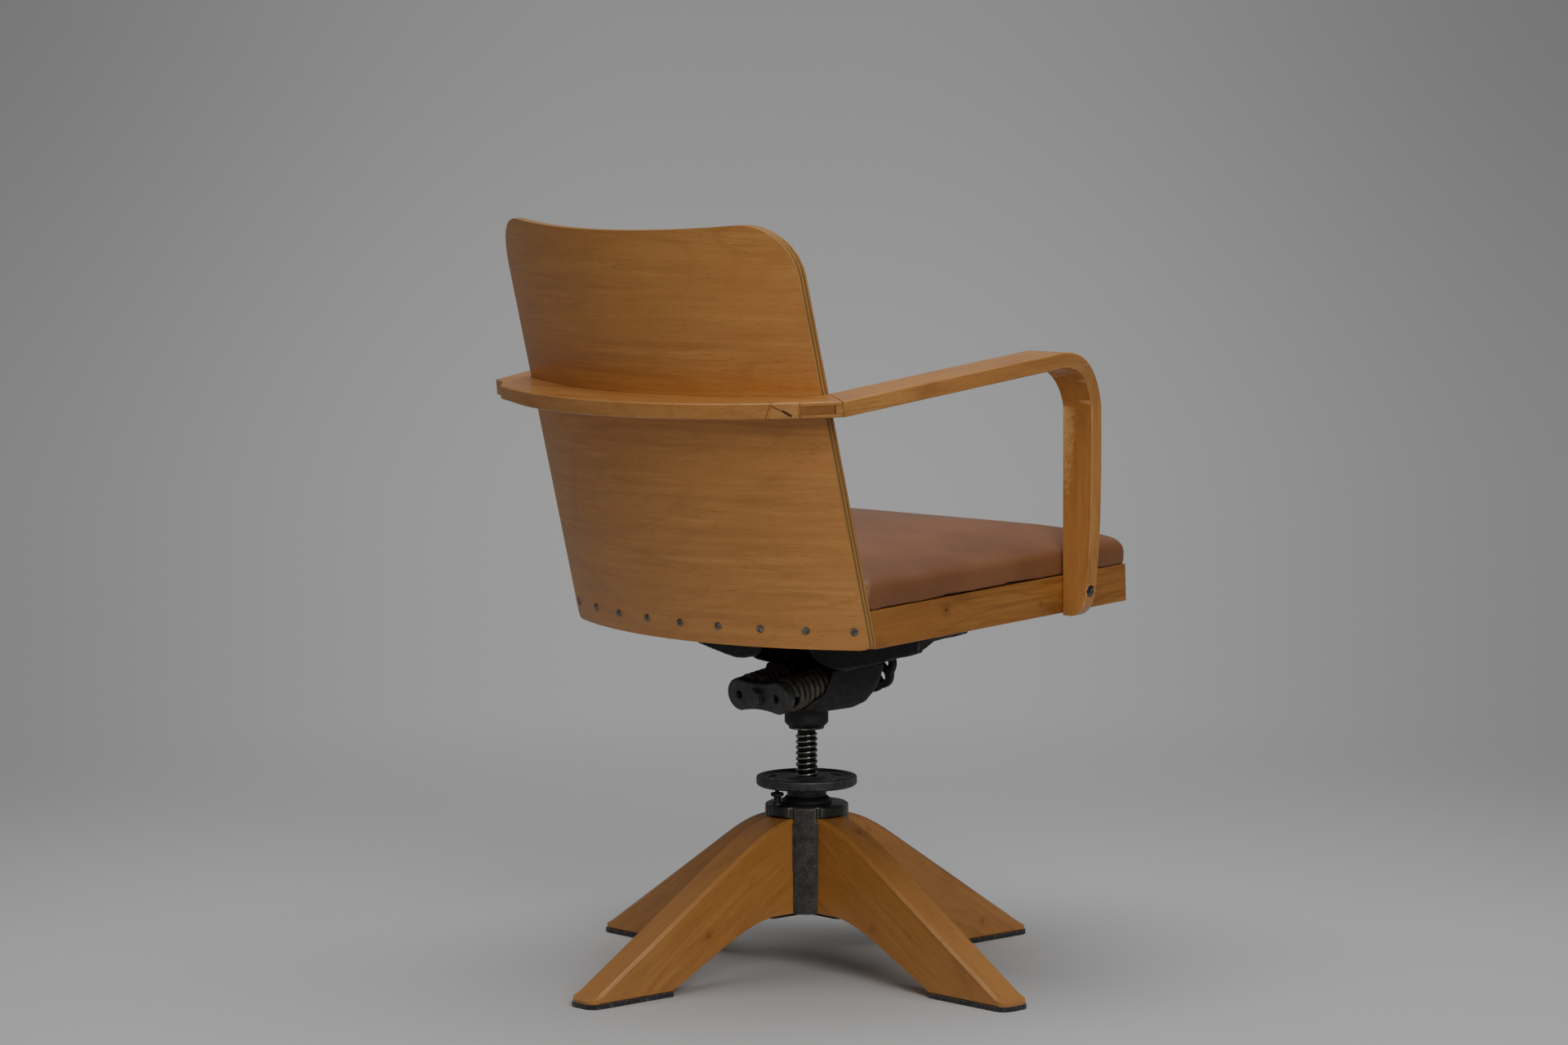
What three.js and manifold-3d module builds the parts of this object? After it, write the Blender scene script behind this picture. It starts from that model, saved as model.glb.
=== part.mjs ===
// Bankers swivel chair: curved plywood back, bowed back rail with bent arms, padded
// seat on a wooden frame, cast tilt mechanism with two springs, screw spindle with a
// handwheel, and four wooden legs in a cast hub.
// Millimetres and degrees. The sitter faces -Y, +X is the sitter's left, +Z is up.
// The origin is on the floor under the spindle.
import * as THREE from 'three';
import { mergeVertices } from 'three/addons/utils/BufferGeometryUtils.js';
import Module from 'manifold-3d';

const wasm = await Module();
wasm.setup();

// Driving dimensions
const seatWidth = 460; // across the seat frame and the back panel
const seatDepth = 436.9; // from the back panel's lower edge to the front of the frame
const backHeight = 466.5; // upright height of the back panel
const backSagitta = 57.3; // how deep the back panel is curved
const backRake = 12.1; // lean of the back panel from upright, degrees
const panelThickness = 11;
const seatFrameHeight = 43;
const armWidth = 56.7;
const armThickness = 17.5;
const restTilt = 2.45; // the seat leans back this much at rest, degrees
const pivotHeight = 365; // tilt axis above the floor
const pivotForward = 38; // tilt axis in front of the spindle
const rodSlope = 7.5; // the tension bolt falls this much to the rear, degrees
const rodOffset = 25.1; // tension bolt's axis below the tilt axis
const springSpacing = 58;
const spindleDiameter = 25.2;
const hubTop = 194;
const hubBottom = 71;
const hubRadius = 48;
const legReach = 341.5;
const legWidth = 41;
const padThickness = 5.2;
const baseYaw = -3.5; // the base stands turned this much under the seat, degrees

// Clearances and overruns shared by all pieces
const seatGap = 0.3; // between pieces that touch
const runningGap = 0.3; // radial, between a shaft and its bore
const overrun = 5; // how far a cutter passes the face that it cuts
const weldTolerance = 0.0005;
const roundSteps = 30;

const radians = THREE.MathUtils.degToRad;

// Shaping helpers

function welded(geometry) {
  const bare = new THREE.BufferGeometry();
  bare.setAttribute('position', geometry.getAttribute('position').clone());
  if (geometry.index) bare.setIndex(geometry.index.clone());
  const merged = mergeVertices(bare, weldTolerance);
  const corners = merged.index.array;
  const kept = [];
  for (let i = 0; i < corners.length; i += 3) {
    const [a, b, c] = [corners[i], corners[i + 1], corners[i + 2]];
    if (a !== b && b !== c && c !== a) kept.push(a, b, c);
  }
  merged.setIndex(kept);
  return merged;
}

function toSolid(geometry) {
  const merged = welded(geometry);
  return new wasm.Manifold(new wasm.Mesh({
    numProp: 3,
    vertProperties: new Float32Array(merged.getAttribute('position').array),
    triVerts: new Uint32Array(merged.index.array),
  }));
}

function toGeometry(solid) {
  const result = solid.getMesh();
  const geometry = new THREE.BufferGeometry();
  geometry.setAttribute('position', new THREE.BufferAttribute(new Float32Array(result.vertProperties), 3));
  geometry.setIndex(new THREE.BufferAttribute(new Uint32Array(result.triVerts), 1));
  return geometry;
}

const joined = (...geometries) => toGeometry(geometries.map(toSolid).reduce((a, b) => a.add(b)));
const common = (a, b) => toGeometry(toSolid(a).intersect(toSolid(b)));

function carved(body, ...cutters) {
  return toGeometry(cutters.map(toSolid).reduce((rest, cutter) => rest.subtract(cutter), toSolid(body)));
}

// A closed body through rings of points, with the ends closed round their middles
function loft(rings) {
  const count = rings[0].length;
  const places = rings.flat().flatMap((point) => [point.x, point.y, point.z]);
  const faces = [];
  for (let r = 0; r + 1 < rings.length; r += 1) {
    for (let i = 0; i < count; i += 1) {
      const a = r * count + i;
      const b = r * count + ((i + 1) % count);
      faces.push(a, b, b + count, a, b + count, a + count);
    }
  }
  const last = (rings.length - 1) * count;
  for (const [ring, start, flip] of [[rings[0], 0, true], [rings.at(-1), last, false]]) {
    const middle = ring.reduce((sum, point) => sum.add(point), new THREE.Vector3()).divideScalar(count);
    const centre = places.length / 3;
    places.push(middle.x, middle.y, middle.z);
    for (let i = 0; i < count; i += 1) {
      const [a, b] = [start + i, start + ((i + 1) % count)];
      if (flip) faces.push(centre, b, a);
      else faces.push(centre, a, b);
    }
  }
  return outward(places, faces);
}

function outward(places, faces) {
  let volume = 0;
  const at = (i) => new THREE.Vector3(places[3 * i], places[3 * i + 1], places[3 * i + 2]);
  for (let i = 0; i < faces.length; i += 3) {
    volume += at(faces[i]).dot(at(faces[i + 1]).cross(at(faces[i + 2])));
  }
  if (volume < 0) faces.reverse();
  const geometry = new THREE.BufferGeometry();
  geometry.setAttribute('position', new THREE.Float32BufferAttribute(places, 3));
  geometry.setIndex(faces);
  return geometry;
}

// An outline with its corners rounded: each corner is [x, y, radius]
function roundedOutline(corners) {
  const shape = new THREE.Shape();
  const count = corners.length;
  corners.forEach(([x, y, radius = 0], i) => {
    const corner = new THREE.Vector2(x, y);
    const before = new THREE.Vector2(...corners[(i + count - 1) % count].slice(0, 2)).sub(corner);
    const after = new THREE.Vector2(...corners[(i + 1) % count].slice(0, 2)).sub(corner);
    const half = Math.abs(before.angleTo(after)) / 2;
    const reach = Math.min(radius / Math.tan(half), before.length() / 2, after.length() / 2);
    const enter = corner.clone().add(before.setLength(reach || 0));
    const leave = corner.clone().add(after.setLength(reach || 0));
    if (i === 0) shape.moveTo(enter.x, enter.y);
    else shape.lineTo(enter.x, enter.y);
    if (reach > 0) shape.quadraticCurveTo(corner.x, corner.y, leave.x, leave.y);
  });
  shape.closePath();
  return shape;
}

// An outline in plan, raised from one height to another, with an optional bevel
function prism(shape, low, high, { bevel = 0, steps = 6 } = {}) {
  const geometry = new THREE.ExtrudeGeometry(shape, {
    depth: high - low - 2 * bevel,
    bevelEnabled: bevel > 0,
    bevelThickness: bevel,
    bevelSize: bevel,
    bevelOffset: -bevel,
    bevelSegments: 1,
    curveSegments: steps,
  });
  return geometry.translate(0, 0, low + bevel);
}

const crossways = new THREE.Matrix4().makeBasis(
  new THREE.Vector3(0, 1, 0), new THREE.Vector3(0, 0, 1), new THREE.Vector3(1, 0, 0));
const lengthways = new THREE.Matrix4().makeBasis(
  new THREE.Vector3(1, 0, 0), new THREE.Vector3(0, 0, 1), new THREE.Vector3(0, -1, 0));

// An outline in side view (y, z), extruded across the chair from one x to another
function crossPrism(shape, low, high, options) {
  return prism(shape, low, high, options).applyMatrix4(crossways);
}

function lathe(profile, steps = roundSteps) {
  const points = profile.map(([radius, height]) => new THREE.Vector2(radius, height));
  return new THREE.LatheGeometry(points, steps).rotateX(Math.PI / 2);
}

function cylinder(radius, low, high, steps = roundSteps) {
  return lathe([[0, low], [radius, low], [radius, high], [0, high]], steps);
}

function box(width, depth, height, x = 0, y = 0, z = 0) {
  return new THREE.BoxGeometry(width, depth, height).translate(x, y, z);
}

const alongX = (geometry) => geometry.rotateY(Math.PI / 2);
const alongY = (geometry) => geometry.rotateX(-Math.PI / 2);

// Materials
const finish = (color, roughness, metalness) => (
  new THREE.MeshStandardMaterial({ color, roughness, metalness }));
const lacqueredWood = () => finish(0xb87333, 0.4, 0);
const ply = () => finish(0xb5722f, 0.4, 0);
const hiddenWood = () => finish(0xc08a50, 0.6, 0);
const castIron = () => finish(0x26272a, 0.6, 0.6);
const steel = () => finish(0x6d6c6a, 0.35, 0.9);
const agedSteel = () => finish(0x5c5248, 0.5, 0.8);
const leather = () => finish(0x8a5030, 0.45, 0);
const felt = () => finish(0x2f2f31, 0.9, 0);

const chair = new THREE.Group();

function addMesh(group, name, geometry, material) {
  const mesh = new THREE.Mesh(welded(geometry), material);
  mesh.name = name;
  group.add(mesh);
  return mesh;
}

// Base: hub, legs, pads, plate and lock pin, turned under the seat
const base = new THREE.Group();
base.rotation.z = radians(baseYaw);
chair.add(base);

const leg = {
  rootStart: 21.8, // inner end, from the spindle's axis
  rootHalf: 14, // half width of the mitred inner end
  shoulder: 63.5, // where the level top would meet the slope
  shoulderRun: 35.5, // level length that the shoulder's curve takes up
  shoulderFall: 62, // length of the slope that it takes up
  slope: 32.15, // fall of the top edge, degrees
  noseStart: 324,
  noseSoft: 339,
  heel: 223,
  arch: 95, // where the underside's slope would meet its level part
  archRun: 28,
  archFall: 50,
  noseCorner: 15,
  bevel: 3.6,
  lowBevel: 1.2,
};
const hub = {
  tube: 21.2,
  flangeThickness: 12,
  lobeReach: 46.7,
  lobeHalf: 17.8,
  lobeCorner: 6,
  notch: 3.5,
  taper: 1.5, // the body's radius lessens this much to the bottom
};
const plate = { thickness: 3, reach: 66, half: 15, centre: 30, screwAt: 54, corner: 5 };
const plateScrew = { head: 4.5, headHeight: 2.4, shank: 2, length: 15 };
const pin = { reach: 41.8, aside: 4.4, shaft: 4, foot: 6.5, footHeight: 4.5, head: 7.5, headLow: 205.5,
  headThickness: 3.4, tip: 2.5, low: 187 };
const wheel = { low: 213.8, thickness: 11.6, radius: 58, neck: 22.7, neckLow: 202.2, chamfer: 3,
  topChamfer: 1.4, dish: 2.4, dishInner: 24, dishOuter: 52.5, slots: 6, slotRadius: 42, slotWidth: 9.5,
  slotSweep: 30 };
const collar = { foot: 28.5, top: 24, lip: 3 };
const spindle = { low: 78, shoulder: 279.6, journal: 10, top: 323, keyWidth: 5, keyDepth: 2.6, chamfer: 2 };
const key = { width: 4.4, height: 22, middle: 174, inset: 4 };

const soleHeight = padThickness + seatGap;
const legTop = hubTop - hub.flangeThickness - seatGap;
const legHalf = legWidth / 2;
const boreRadius = spindleDiameter / 2 + runningGap;
const legAngles = { leg_left: 0, leg_rear: 90, leg_right: 180, leg_front: 270 };

// Lines along a leg, as heights over the distance from the spindle's axis
function legTopLine() {
  const fall = Math.tan(radians(leg.slope));
  const topAt = (s) => legTop - (s - leg.shoulder) * fall;
  const eased = leg.shoulder + leg.shoulderFall * Math.cos(radians(leg.slope));
  const line = new THREE.Path();
  line.moveTo(leg.rootStart, legTop);
  line.lineTo(leg.shoulder - leg.shoulderRun, legTop);
  line.quadraticCurveTo(leg.shoulder, legTop, eased, topAt(eased));
  line.lineTo(leg.noseStart, topAt(leg.noseStart));
  line.quadraticCurveTo(leg.noseSoft, topAt(leg.noseSoft), legReach, soleHeight + leg.bevel);
  return line.getPoints(10);
}

function legUnderLine() {
  const rise = (hubBottom - soleHeight) / (leg.heel - leg.arch);
  const line = new THREE.Path();
  line.moveTo(leg.rootStart, hubBottom);
  line.lineTo(leg.arch - leg.archRun, hubBottom);
  line.quadraticCurveTo(leg.arch, hubBottom, leg.arch + leg.archFall, hubBottom - leg.archFall * rise);
  line.lineTo(leg.heel, soleHeight);
  line.lineTo(legReach, soleHeight);
  return line.getPoints(8);
}

function heightAt(line, s) {
  const next = Math.max(1, line.findIndex((point) => point.x >= s - weldTolerance));
  const [a, b] = [line[next - 1], line[next]];
  return THREE.MathUtils.mapLinear(s, a.x, b.x, a.y, b.y);
}

function legBody() {
  const [top, under] = [legTopLine(), legUnderLine()];
  const places = [...top, ...under].map((point) => point.x).sort((a, b) => a - b);
  const stations = places.filter((s, i) => i === 0 || s - places[i - 1] > 2 * weldTolerance);
  return loft(stations.map((s) => {
    const [high, low] = [heightAt(top, s), heightAt(under, s)];
    const cut = Math.min(leg.bevel, (high - low) / 3);
    const toe = Math.min(leg.lowBevel, (high - low) / 3);
    return [[-legHalf, low + toe], [-legHalf, high - cut], [cut - legHalf, high], [legHalf - cut, high],
      [legHalf, high - cut], [legHalf, low + toe], [legHalf - toe, low], [toe - legHalf, low]]
      .map(([y, z]) => new THREE.Vector3(s, y, z));
  }));
}

// Plan of a leg: mitred inner end and a nose with rounded corners
function legPlan(grow = 0, reach = legReach) {
  const half = legHalf + grow;
  const start = leg.rootStart - grow;
  const mitre = legHalf - leg.rootHalf;
  return roundedOutline([
    [start, -half + mitre], [start + mitre, -half],
    [reach, -half, leg.noseCorner], [reach, half, leg.noseCorner],
    [start + mitre, half], [start, half - mitre],
  ]);
}

function makeLeg() {
  const body = common(legBody(), prism(legPlan(), 0, hubTop));
  return carved(body, cylinder(plateScrew.shank + seatGap, 0, hubBottom + plateScrew.length, 10)
    .translate(plate.screwAt, 0, 0));
}

// Pad under the sloping end of a leg, a little proud all round
function makePad() {
  const proud = 1;
  const outline = roundedOutline([
    [leg.heel, -legHalf - proud], [legReach + proud, -legHalf - proud, leg.noseCorner],
    [legReach + proud, legHalf + proud, leg.noseCorner], [leg.heel, legHalf + proud],
  ]);
  return prism(outline, 0, padThickness);
}

// Cast hub: a round body slotted for the legs, under a scalloped flange
function makeHub() {
  const flangeLow = hubTop - hub.flangeThickness;
  const body = lathe([[0, hubBottom], [hubRadius - hub.taper, hubBottom], [hubRadius, flangeLow],
    [hubRadius, hubTop - hub.taper], [hubRadius - hub.taper, hubTop], [0, hubTop]], 1.3 * roundSteps);
  const lobe = roundedOutline([
    [0, -hub.lobeHalf], [hub.lobeReach, -hub.lobeHalf, hub.lobeCorner],
    [hub.lobeReach, hub.lobeHalf, hub.lobeCorner], [0, hub.lobeHalf]]);
  const parts = [body];
  const cuts = [cylinder(boreRadius, hubBottom - overrun, hubTop + overrun)];
  for (const angle of Object.values(legAngles)) {
    const turn = radians(angle);
    parts.push(prism(lobe, flangeLow, hubTop, { bevel: hub.taper }).rotateZ(turn));
    const slot = prism(legPlan(seatGap, legReach), hubBottom - overrun, flangeLow);
    cuts.push(slot.rotateZ(turn));
    const notchAt = new THREE.Vector2(hubRadius, 0);
    for (const side of [-1, 1]) {
      const aside = Math.asin((hub.lobeHalf + hub.notch) / hubRadius);
      cuts.push(cylinder(hub.notch, flangeLow - overrun, hubTop + overrun, 10)
        .translate(notchAt.x, 0, 0).rotateZ(turn + side * aside));
    }
  }
  parts.push(pinFoot());
  cuts.push(cylinder(pin.shaft + runningGap, pin.low - 1.5 * runningGap, wheel.low, 16)
    .translate(pin.aside, pin.reach, 0));
  cuts.push(box(key.width + 2 * seatGap, key.inset + spindleDiameter / 2, key.height + 2 * seatGap,
    0, -(key.inset + spindleDiameter / 2) / 2, key.middle));
  return carved(joined(...parts), ...cuts);
}

function pinFoot() {
  return lathe([[0, hubTop - hub.taper], [pin.foot, hubTop - hub.taper], [pin.shaft + hub.taper,
    hubTop + pin.footHeight], [0, hubTop + pin.footHeight]], 20).translate(pin.aside, pin.reach, 0);
}

function makeLockPin() {
  const headTop = pin.headLow + pin.headThickness;
  const top = wheel.low - 2 * runningGap;
  return lathe([[0, pin.low], [pin.shaft, pin.low], [pin.shaft, pin.headLow - pin.headThickness / 2],
    [pin.head, pin.headLow], [pin.head, headTop], [pin.tip, headTop], [pin.tip, top], [0, top]], 20);
}

function makeBasePlate() {
  const high = hubBottom - seatGap;
  const arm = roundedOutline([
    [0, -plate.half], [plate.reach, -plate.half, plate.corner],
    [plate.reach, plate.half, plate.corner], [0, plate.half]]);
  const low = high - plate.thickness;
  const parts = [cylinder(plate.centre, low, high)];
  const cuts = [cylinder(boreRadius + 2 * runningGap, low - overrun, high + overrun)];
  for (const angle of Object.values(legAngles)) {
    parts.push(prism(arm, low, high).rotateZ(radians(angle)));
    cuts.push(cylinder(plateScrew.shank + seatGap, low - overrun, high + overrun, 10)
      .translate(plate.screwAt, 0, 0).rotateZ(radians(angle)));
  }
  return carved(joined(...parts), ...cuts);
}

function makePlateScrew() {
  const low = hubBottom - plate.thickness - 2 * seatGap;
  return lathe([[0, low - plateScrew.headHeight], [plateScrew.head * 0.6, low - plateScrew.headHeight],
    [plateScrew.head, low - plateScrew.headHeight / 3], [plateScrew.head, low], [plateScrew.shank, low],
    [plateScrew.shank, low + plateScrew.length], [0, low + plateScrew.length]], 8);
}

// Handwheel: a threaded neck under a dished disc with kidney holes for the lock pin
function makeHandwheel() {
  const top = wheel.low + wheel.thickness;
  const floor = top - wheel.dish;
  const body = lathe([
    [boreRadius, wheel.neckLow], [wheel.neck, wheel.neckLow], [wheel.neck, wheel.low],
    [wheel.radius - wheel.chamfer, wheel.low], [wheel.radius, wheel.low + wheel.chamfer * 0.8],
    [wheel.radius, top - wheel.topChamfer], [wheel.radius - wheel.topChamfer, top],
    [wheel.dishOuter, top], [wheel.dishOuter - wheel.dish, floor], [wheel.dishInner, floor],
    [wheel.dishInner - wheel.dish, top], [boreRadius, top], [boreRadius, wheel.neckLow]], 1.3 * roundSteps);
  const cuts = [];
  const first = Math.atan2(pin.reach, pin.aside);
  for (let i = 0; i < wheel.slots; i += 1) {
    const turn = first + (i * 2 * Math.PI) / wheel.slots;
    cuts.push(prism(kidney(), wheel.low - overrun, top + overrun, { steps: 3 }).rotateZ(turn));
  }
  return carved(body, ...cuts);
}

function kidney() {
  const half = radians(wheel.slotSweep) / 2;
  const [inner, outer] = [wheel.slotRadius - wheel.slotWidth / 2, wheel.slotRadius + wheel.slotWidth / 2];
  const shape = new THREE.Shape();
  shape.absarc(0, 0, outer, -half, half, false);
  const end = new THREE.Vector2(wheel.slotRadius, 0).rotateAround(new THREE.Vector2(), half);
  shape.absarc(end.x, end.y, wheel.slotWidth / 2, half, half + Math.PI, false);
  shape.absarc(0, 0, inner, half, -half, true);
  end.rotateAround(new THREE.Vector2(), -2 * half);
  shape.absarc(end.x, end.y, wheel.slotWidth / 2, Math.PI - half, 2 * Math.PI - half, false);
  shape.closePath();
  return shape;
}

function makeCollar() {
  const low = hubTop + seatGap;
  const high = wheel.neckLow - seatGap;
  return lathe([[boreRadius, low], [collar.foot, low], [collar.foot, low + collar.lip],
    [collar.top, high], [boreRadius, high], [boreRadius, low]]);
}

// Spindle: threaded length with a keyway, and a plain journal for the bracket
function makeSpindle() {
  const radius = spindleDiameter / 2;
  const { low, shoulder, journal, top, chamfer } = spindle;
  const body = lathe([[0, low], [radius - 1.5 * runningGap, low], [radius, low + chamfer],
    [radius, shoulder], [journal, shoulder], [journal, top], [0, top]]);
  const groove = box(spindle.keyWidth, 2 * spindle.keyDepth, shoulder - low,
    0, -radius, (shoulder + low) / 2 - overrun);
  return carved(body, groove);
}

function makeKey() {
  const inner = spindleDiameter / 2 - spindle.keyDepth + 2 * runningGap;
  const outer = spindleDiameter / 2 + key.inset - seatGap;
  return box(key.width, outer - inner, key.height, 0, -(inner + outer) / 2, key.middle);
}

addMesh(base, 'hub_casting', makeHub(), castIron());
for (const [name, angle] of Object.entries(legAngles)) {
  const turn = radians(angle);
  addMesh(base, name, makeLeg(), lacqueredWood()).rotation.z = turn;
  addMesh(base, name.replace('leg', 'foot_pad'), makePad(), felt()).rotation.z = turn;
  const screw = addMesh(base, name.replace('leg', 'plate_screw'), makePlateScrew(), steel());
  screw.position.set(plate.screwAt * Math.cos(turn), plate.screwAt * Math.sin(turn), 0);
}
addMesh(base, 'hub_base_plate', makeBasePlate(), castIron());
addMesh(base, 'lock_pin', makeLockPin(), castIron()).position.set(pin.aside, pin.reach, 0);
addMesh(base, 'thrust_collar', makeCollar(), castIron());
addMesh(base, 'guide_key', makeKey(), steel());
addMesh(base, 'handwheel', makeHandwheel(), castIron());
addMesh(base, 'spindle', makeSpindle(), steel());

// Tilt bracket: a cast cradle on the spindle, open behind for the springs
const bracket = {
  bossRadius: 25.3, bossLow: 282, bossHigh: 308, bossChamfer: 5,
  wall: 6.5, halfWidth: 54, top: 352, lugRadius: 13.5, lugThickness: 8,
  floor: 313, frontWall: 8, wallRear: 4.7, wallThickness: 10, slotHalf: 11, pocketGap: 1.5,
  rimCorner: 16, cavityCorner: 8, smallCorner: 4,
};
// Levels of the cradle: height, half width, front, rear, corner radius
const cradleFoot = { z: 304, half: 42, front: -45, rear: 35, corner: 20 };
const cradleBowl = { z: 310, half: 49, front: -57, rear: 47, corner: 19 };
const cradleBelly = { z: 321, half: 52.5, front: -67, rear: 44, corner: 18 };
const cradleWaist = { z: 335, half: bracket.halfWidth, front: -75, rear: 36, corner: 16 };
const cradleRim = { z: bracket.top, half: bracket.halfWidth, front: -80, rear: 28, corner: 13 };
const cradleLevels = [cradleFoot, cradleBowl, cradleBelly, cradleWaist, cradleRim];
const pivotPin = { radius: 7, overhang: 1.2 };
const ear = { gap: 0.6, thickness: 6.5, bottom: 13.6 };
const yoke = { thickness: 14, lobe: 19, waist: 15.5, hole: 4.8, bevel: 1.5 };
const spring = { outer: 40, wire: 6.5, turns: 6.5, stepsPerTurn: 8, sides: 5, endTurns: 0.75, endRise: 7 };
const rod = { radius: 6, headAcross: 19, headHeight: 8 };
const tension = { radius: 38.5, valley: 35.5, lobes: 8, thickness: 9, holeRing: 24.5, hole: 6.6,
  hub: 13, hubLength: 21, discAt: 12 };
const cam = { radius: 51, thickness: 9.5, half: 19, below: 22, slotTop: 9.5, depth: 16 };
const nut = { radius: 15, height: 7 };

const pivot = new THREE.Vector3(0, -pivotForward, pivotHeight);
const rodDown = radians(rodSlope);
// Foot of the tilt axis on the tension bolt's axis, the middle of the cam's curve
const camFoot = new THREE.Vector3(0, pivot.y - rodOffset * Math.sin(rodDown),
  pivot.z - rodOffset * Math.cos(rodDown));
const yokeRear = 123.4; // the yoke's rear face, behind the cam's middle along the bolt
const springSeat = (camFoot.y - bracket.wallRear) / Math.cos(rodDown) + yokeRear;
// Places on the bolt are measured forward from the yoke's rear face as negative y
const rodFrame = new THREE.Group();
rodFrame.position.set(0, camFoot.y + yokeRear * Math.cos(rodDown), camFoot.z - yokeRear * Math.sin(rodDown));
rodFrame.rotation.x = -rodDown;
rodFrame.updateMatrix();
const onRod = (geometry) => geometry.applyMatrix4(rodFrame.matrix);
const seatPlane = -(yokeRear + (camFoot.y - bracket.wallRear) / Math.cos(rodDown));

function cradleRing({ z, half, front, rear, corner }) {
  const shape = roundedOutline([[-half, front, corner], [half, front, corner],
    [half, rear, corner], [-half, rear, corner]]);
  return shape.getPoints(5).slice(0, -1).map((p) => new THREE.Vector3(p.x, p.y, z));
}

// Side view of the cradle's open rear: the rim sweeps down under the springs
function cradleSide() {
  const { top } = bracket;
  const front = cradleRim.front - overrun;
  const rim = cradleBowl.rear + overrun;
  return roundedOutline([[front, cradleFoot.z - overrun], [rim, cradleFoot.z - overrun],
    [rim, cradleBowl.z + overrun / 3, bracket.smallCorner],
    [cradleRim.rear - overrun, cradleBelly.z + overrun, bracket.rimCorner],
    [bracket.wallRear + overrun, top, bracket.smallCorner / 2], [front, top]]);
}

function makeBracket() {
  const cradle = common(loft(cradleLevels.map(cradleRing)),
    crossPrism(cradleSide(), -bracket.halfWidth - overrun, bracket.halfWidth + overrun));
  const boss = lathe([[0, bracket.bossLow], [bracket.bossRadius - bracket.bossChamfer, bracket.bossLow],
    [bracket.bossRadius, bracket.bossLow + bracket.bossChamfer], [bracket.bossRadius, bracket.bossHigh],
    [0, bracket.bossHigh]]);
  const parts = [cradle, boss];
  const lug = roundedOutline([
    [pivot.y - 2 * bracket.lugRadius, bracket.top - 2 * overrun],
    [pivot.y + 2 * bracket.lugRadius, bracket.top - 2 * overrun],
    [pivot.y + bracket.lugRadius, pivot.z + bracket.lugRadius, bracket.lugRadius],
    [pivot.y - bracket.lugRadius, pivot.z + bracket.lugRadius, bracket.lugRadius]]);
  for (const side of [-1, 1]) {
    const [a, b] = [side * bracket.halfWidth, side * (bracket.halfWidth - bracket.lugThickness)];
    parts.push(crossPrism(lug, Math.min(a, b), Math.max(a, b)));
  }
  const { wallRear, wallThickness, wall, halfWidth, floor, top, frontWall } = bracket;
  const cavityFront = cradleRim.front + frontWall;
  const cavityRear = wallRear - wallThickness;
  const cavity = crossPrism(roundedOutline([[cavityFront, top + overrun],
    [cavityFront, cradleWaist.z + overrun, bracket.cavityCorner],
    [cradleBowl.front + frontWall, floor, bracket.cavityCorner], [cavityRear, floor, bracket.smallCorner],
    [cavityRear, top + overrun]]), wall - halfWidth, halfWidth - wall);
  const cuts = [cavity];
  const pocket = spring.outer / 2 + bracket.pocketGap;
  for (const side of [-1, 1]) {
    cuts.push(onRod(alongY(cylinder(pocket, seatPlane, overrun)).translate(side * springSpacing / 2, 0, 0)));
  }
  cuts.push(onRod(box(2 * bracket.slotHalf, -seatPlane, 3 * pocket, 0, seatPlane / 2, pocket)));
  cuts.push(onRod(box(springSpacing, -seatPlane, 2 * pocket, 0, seatPlane / 2, pocket)));
  cuts.push(onRod(alongY(cylinder(rod.radius + 3 * runningGap, -yokeRear - cam.radius, 0, 20))));
  cuts.push(cylinder(nut.radius + 3 * runningGap, floor, top, 24));
  cuts.push(cylinder(spindle.journal + runningGap, bracket.bossLow - overrun, top));
  cuts.push(alongX(cylinder(pivotPin.radius + runningGap, -halfWidth - overrun, halfWidth + overrun, 24))
    .translate(0, pivot.y, pivot.z));
  return carved(joined(...parts), ...cuts);
}

function makePivotPin() {
  const half = bracket.halfWidth + ear.gap + ear.thickness + pivotPin.overhang;
  const chamfer = pivotPin.overhang / 3;
  return alongX(lathe([[0, -half], [pivotPin.radius - chamfer, -half], [pivotPin.radius, -half + chamfer],
    [pivotPin.radius, half - chamfer], [pivotPin.radius - chamfer, half], [0, half]], 24));
}

function makeNut() {
  const low = bracket.floor + seatGap;
  const hex = new THREE.CylinderGeometry(nut.radius, nut.radius, nut.height, 6).rotateX(Math.PI / 2)
    .translate(0, 0, low + nut.height / 2);
  return carved(hex, cylinder(spindle.journal + seatGap, low - overrun, low + nut.height + overrun));
}

function makeWasher() {
  const [low, high] = [spindle.shoulder + seatGap, bracket.bossLow - seatGap];
  const bore = spindle.journal + runningGap;
  return lathe([[bore, low], [bracket.bossRadius - bracket.bossChamfer, low],
    [bracket.bossRadius - bracket.bossChamfer, high], [bore, high], [bore, low]]);
}

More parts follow.
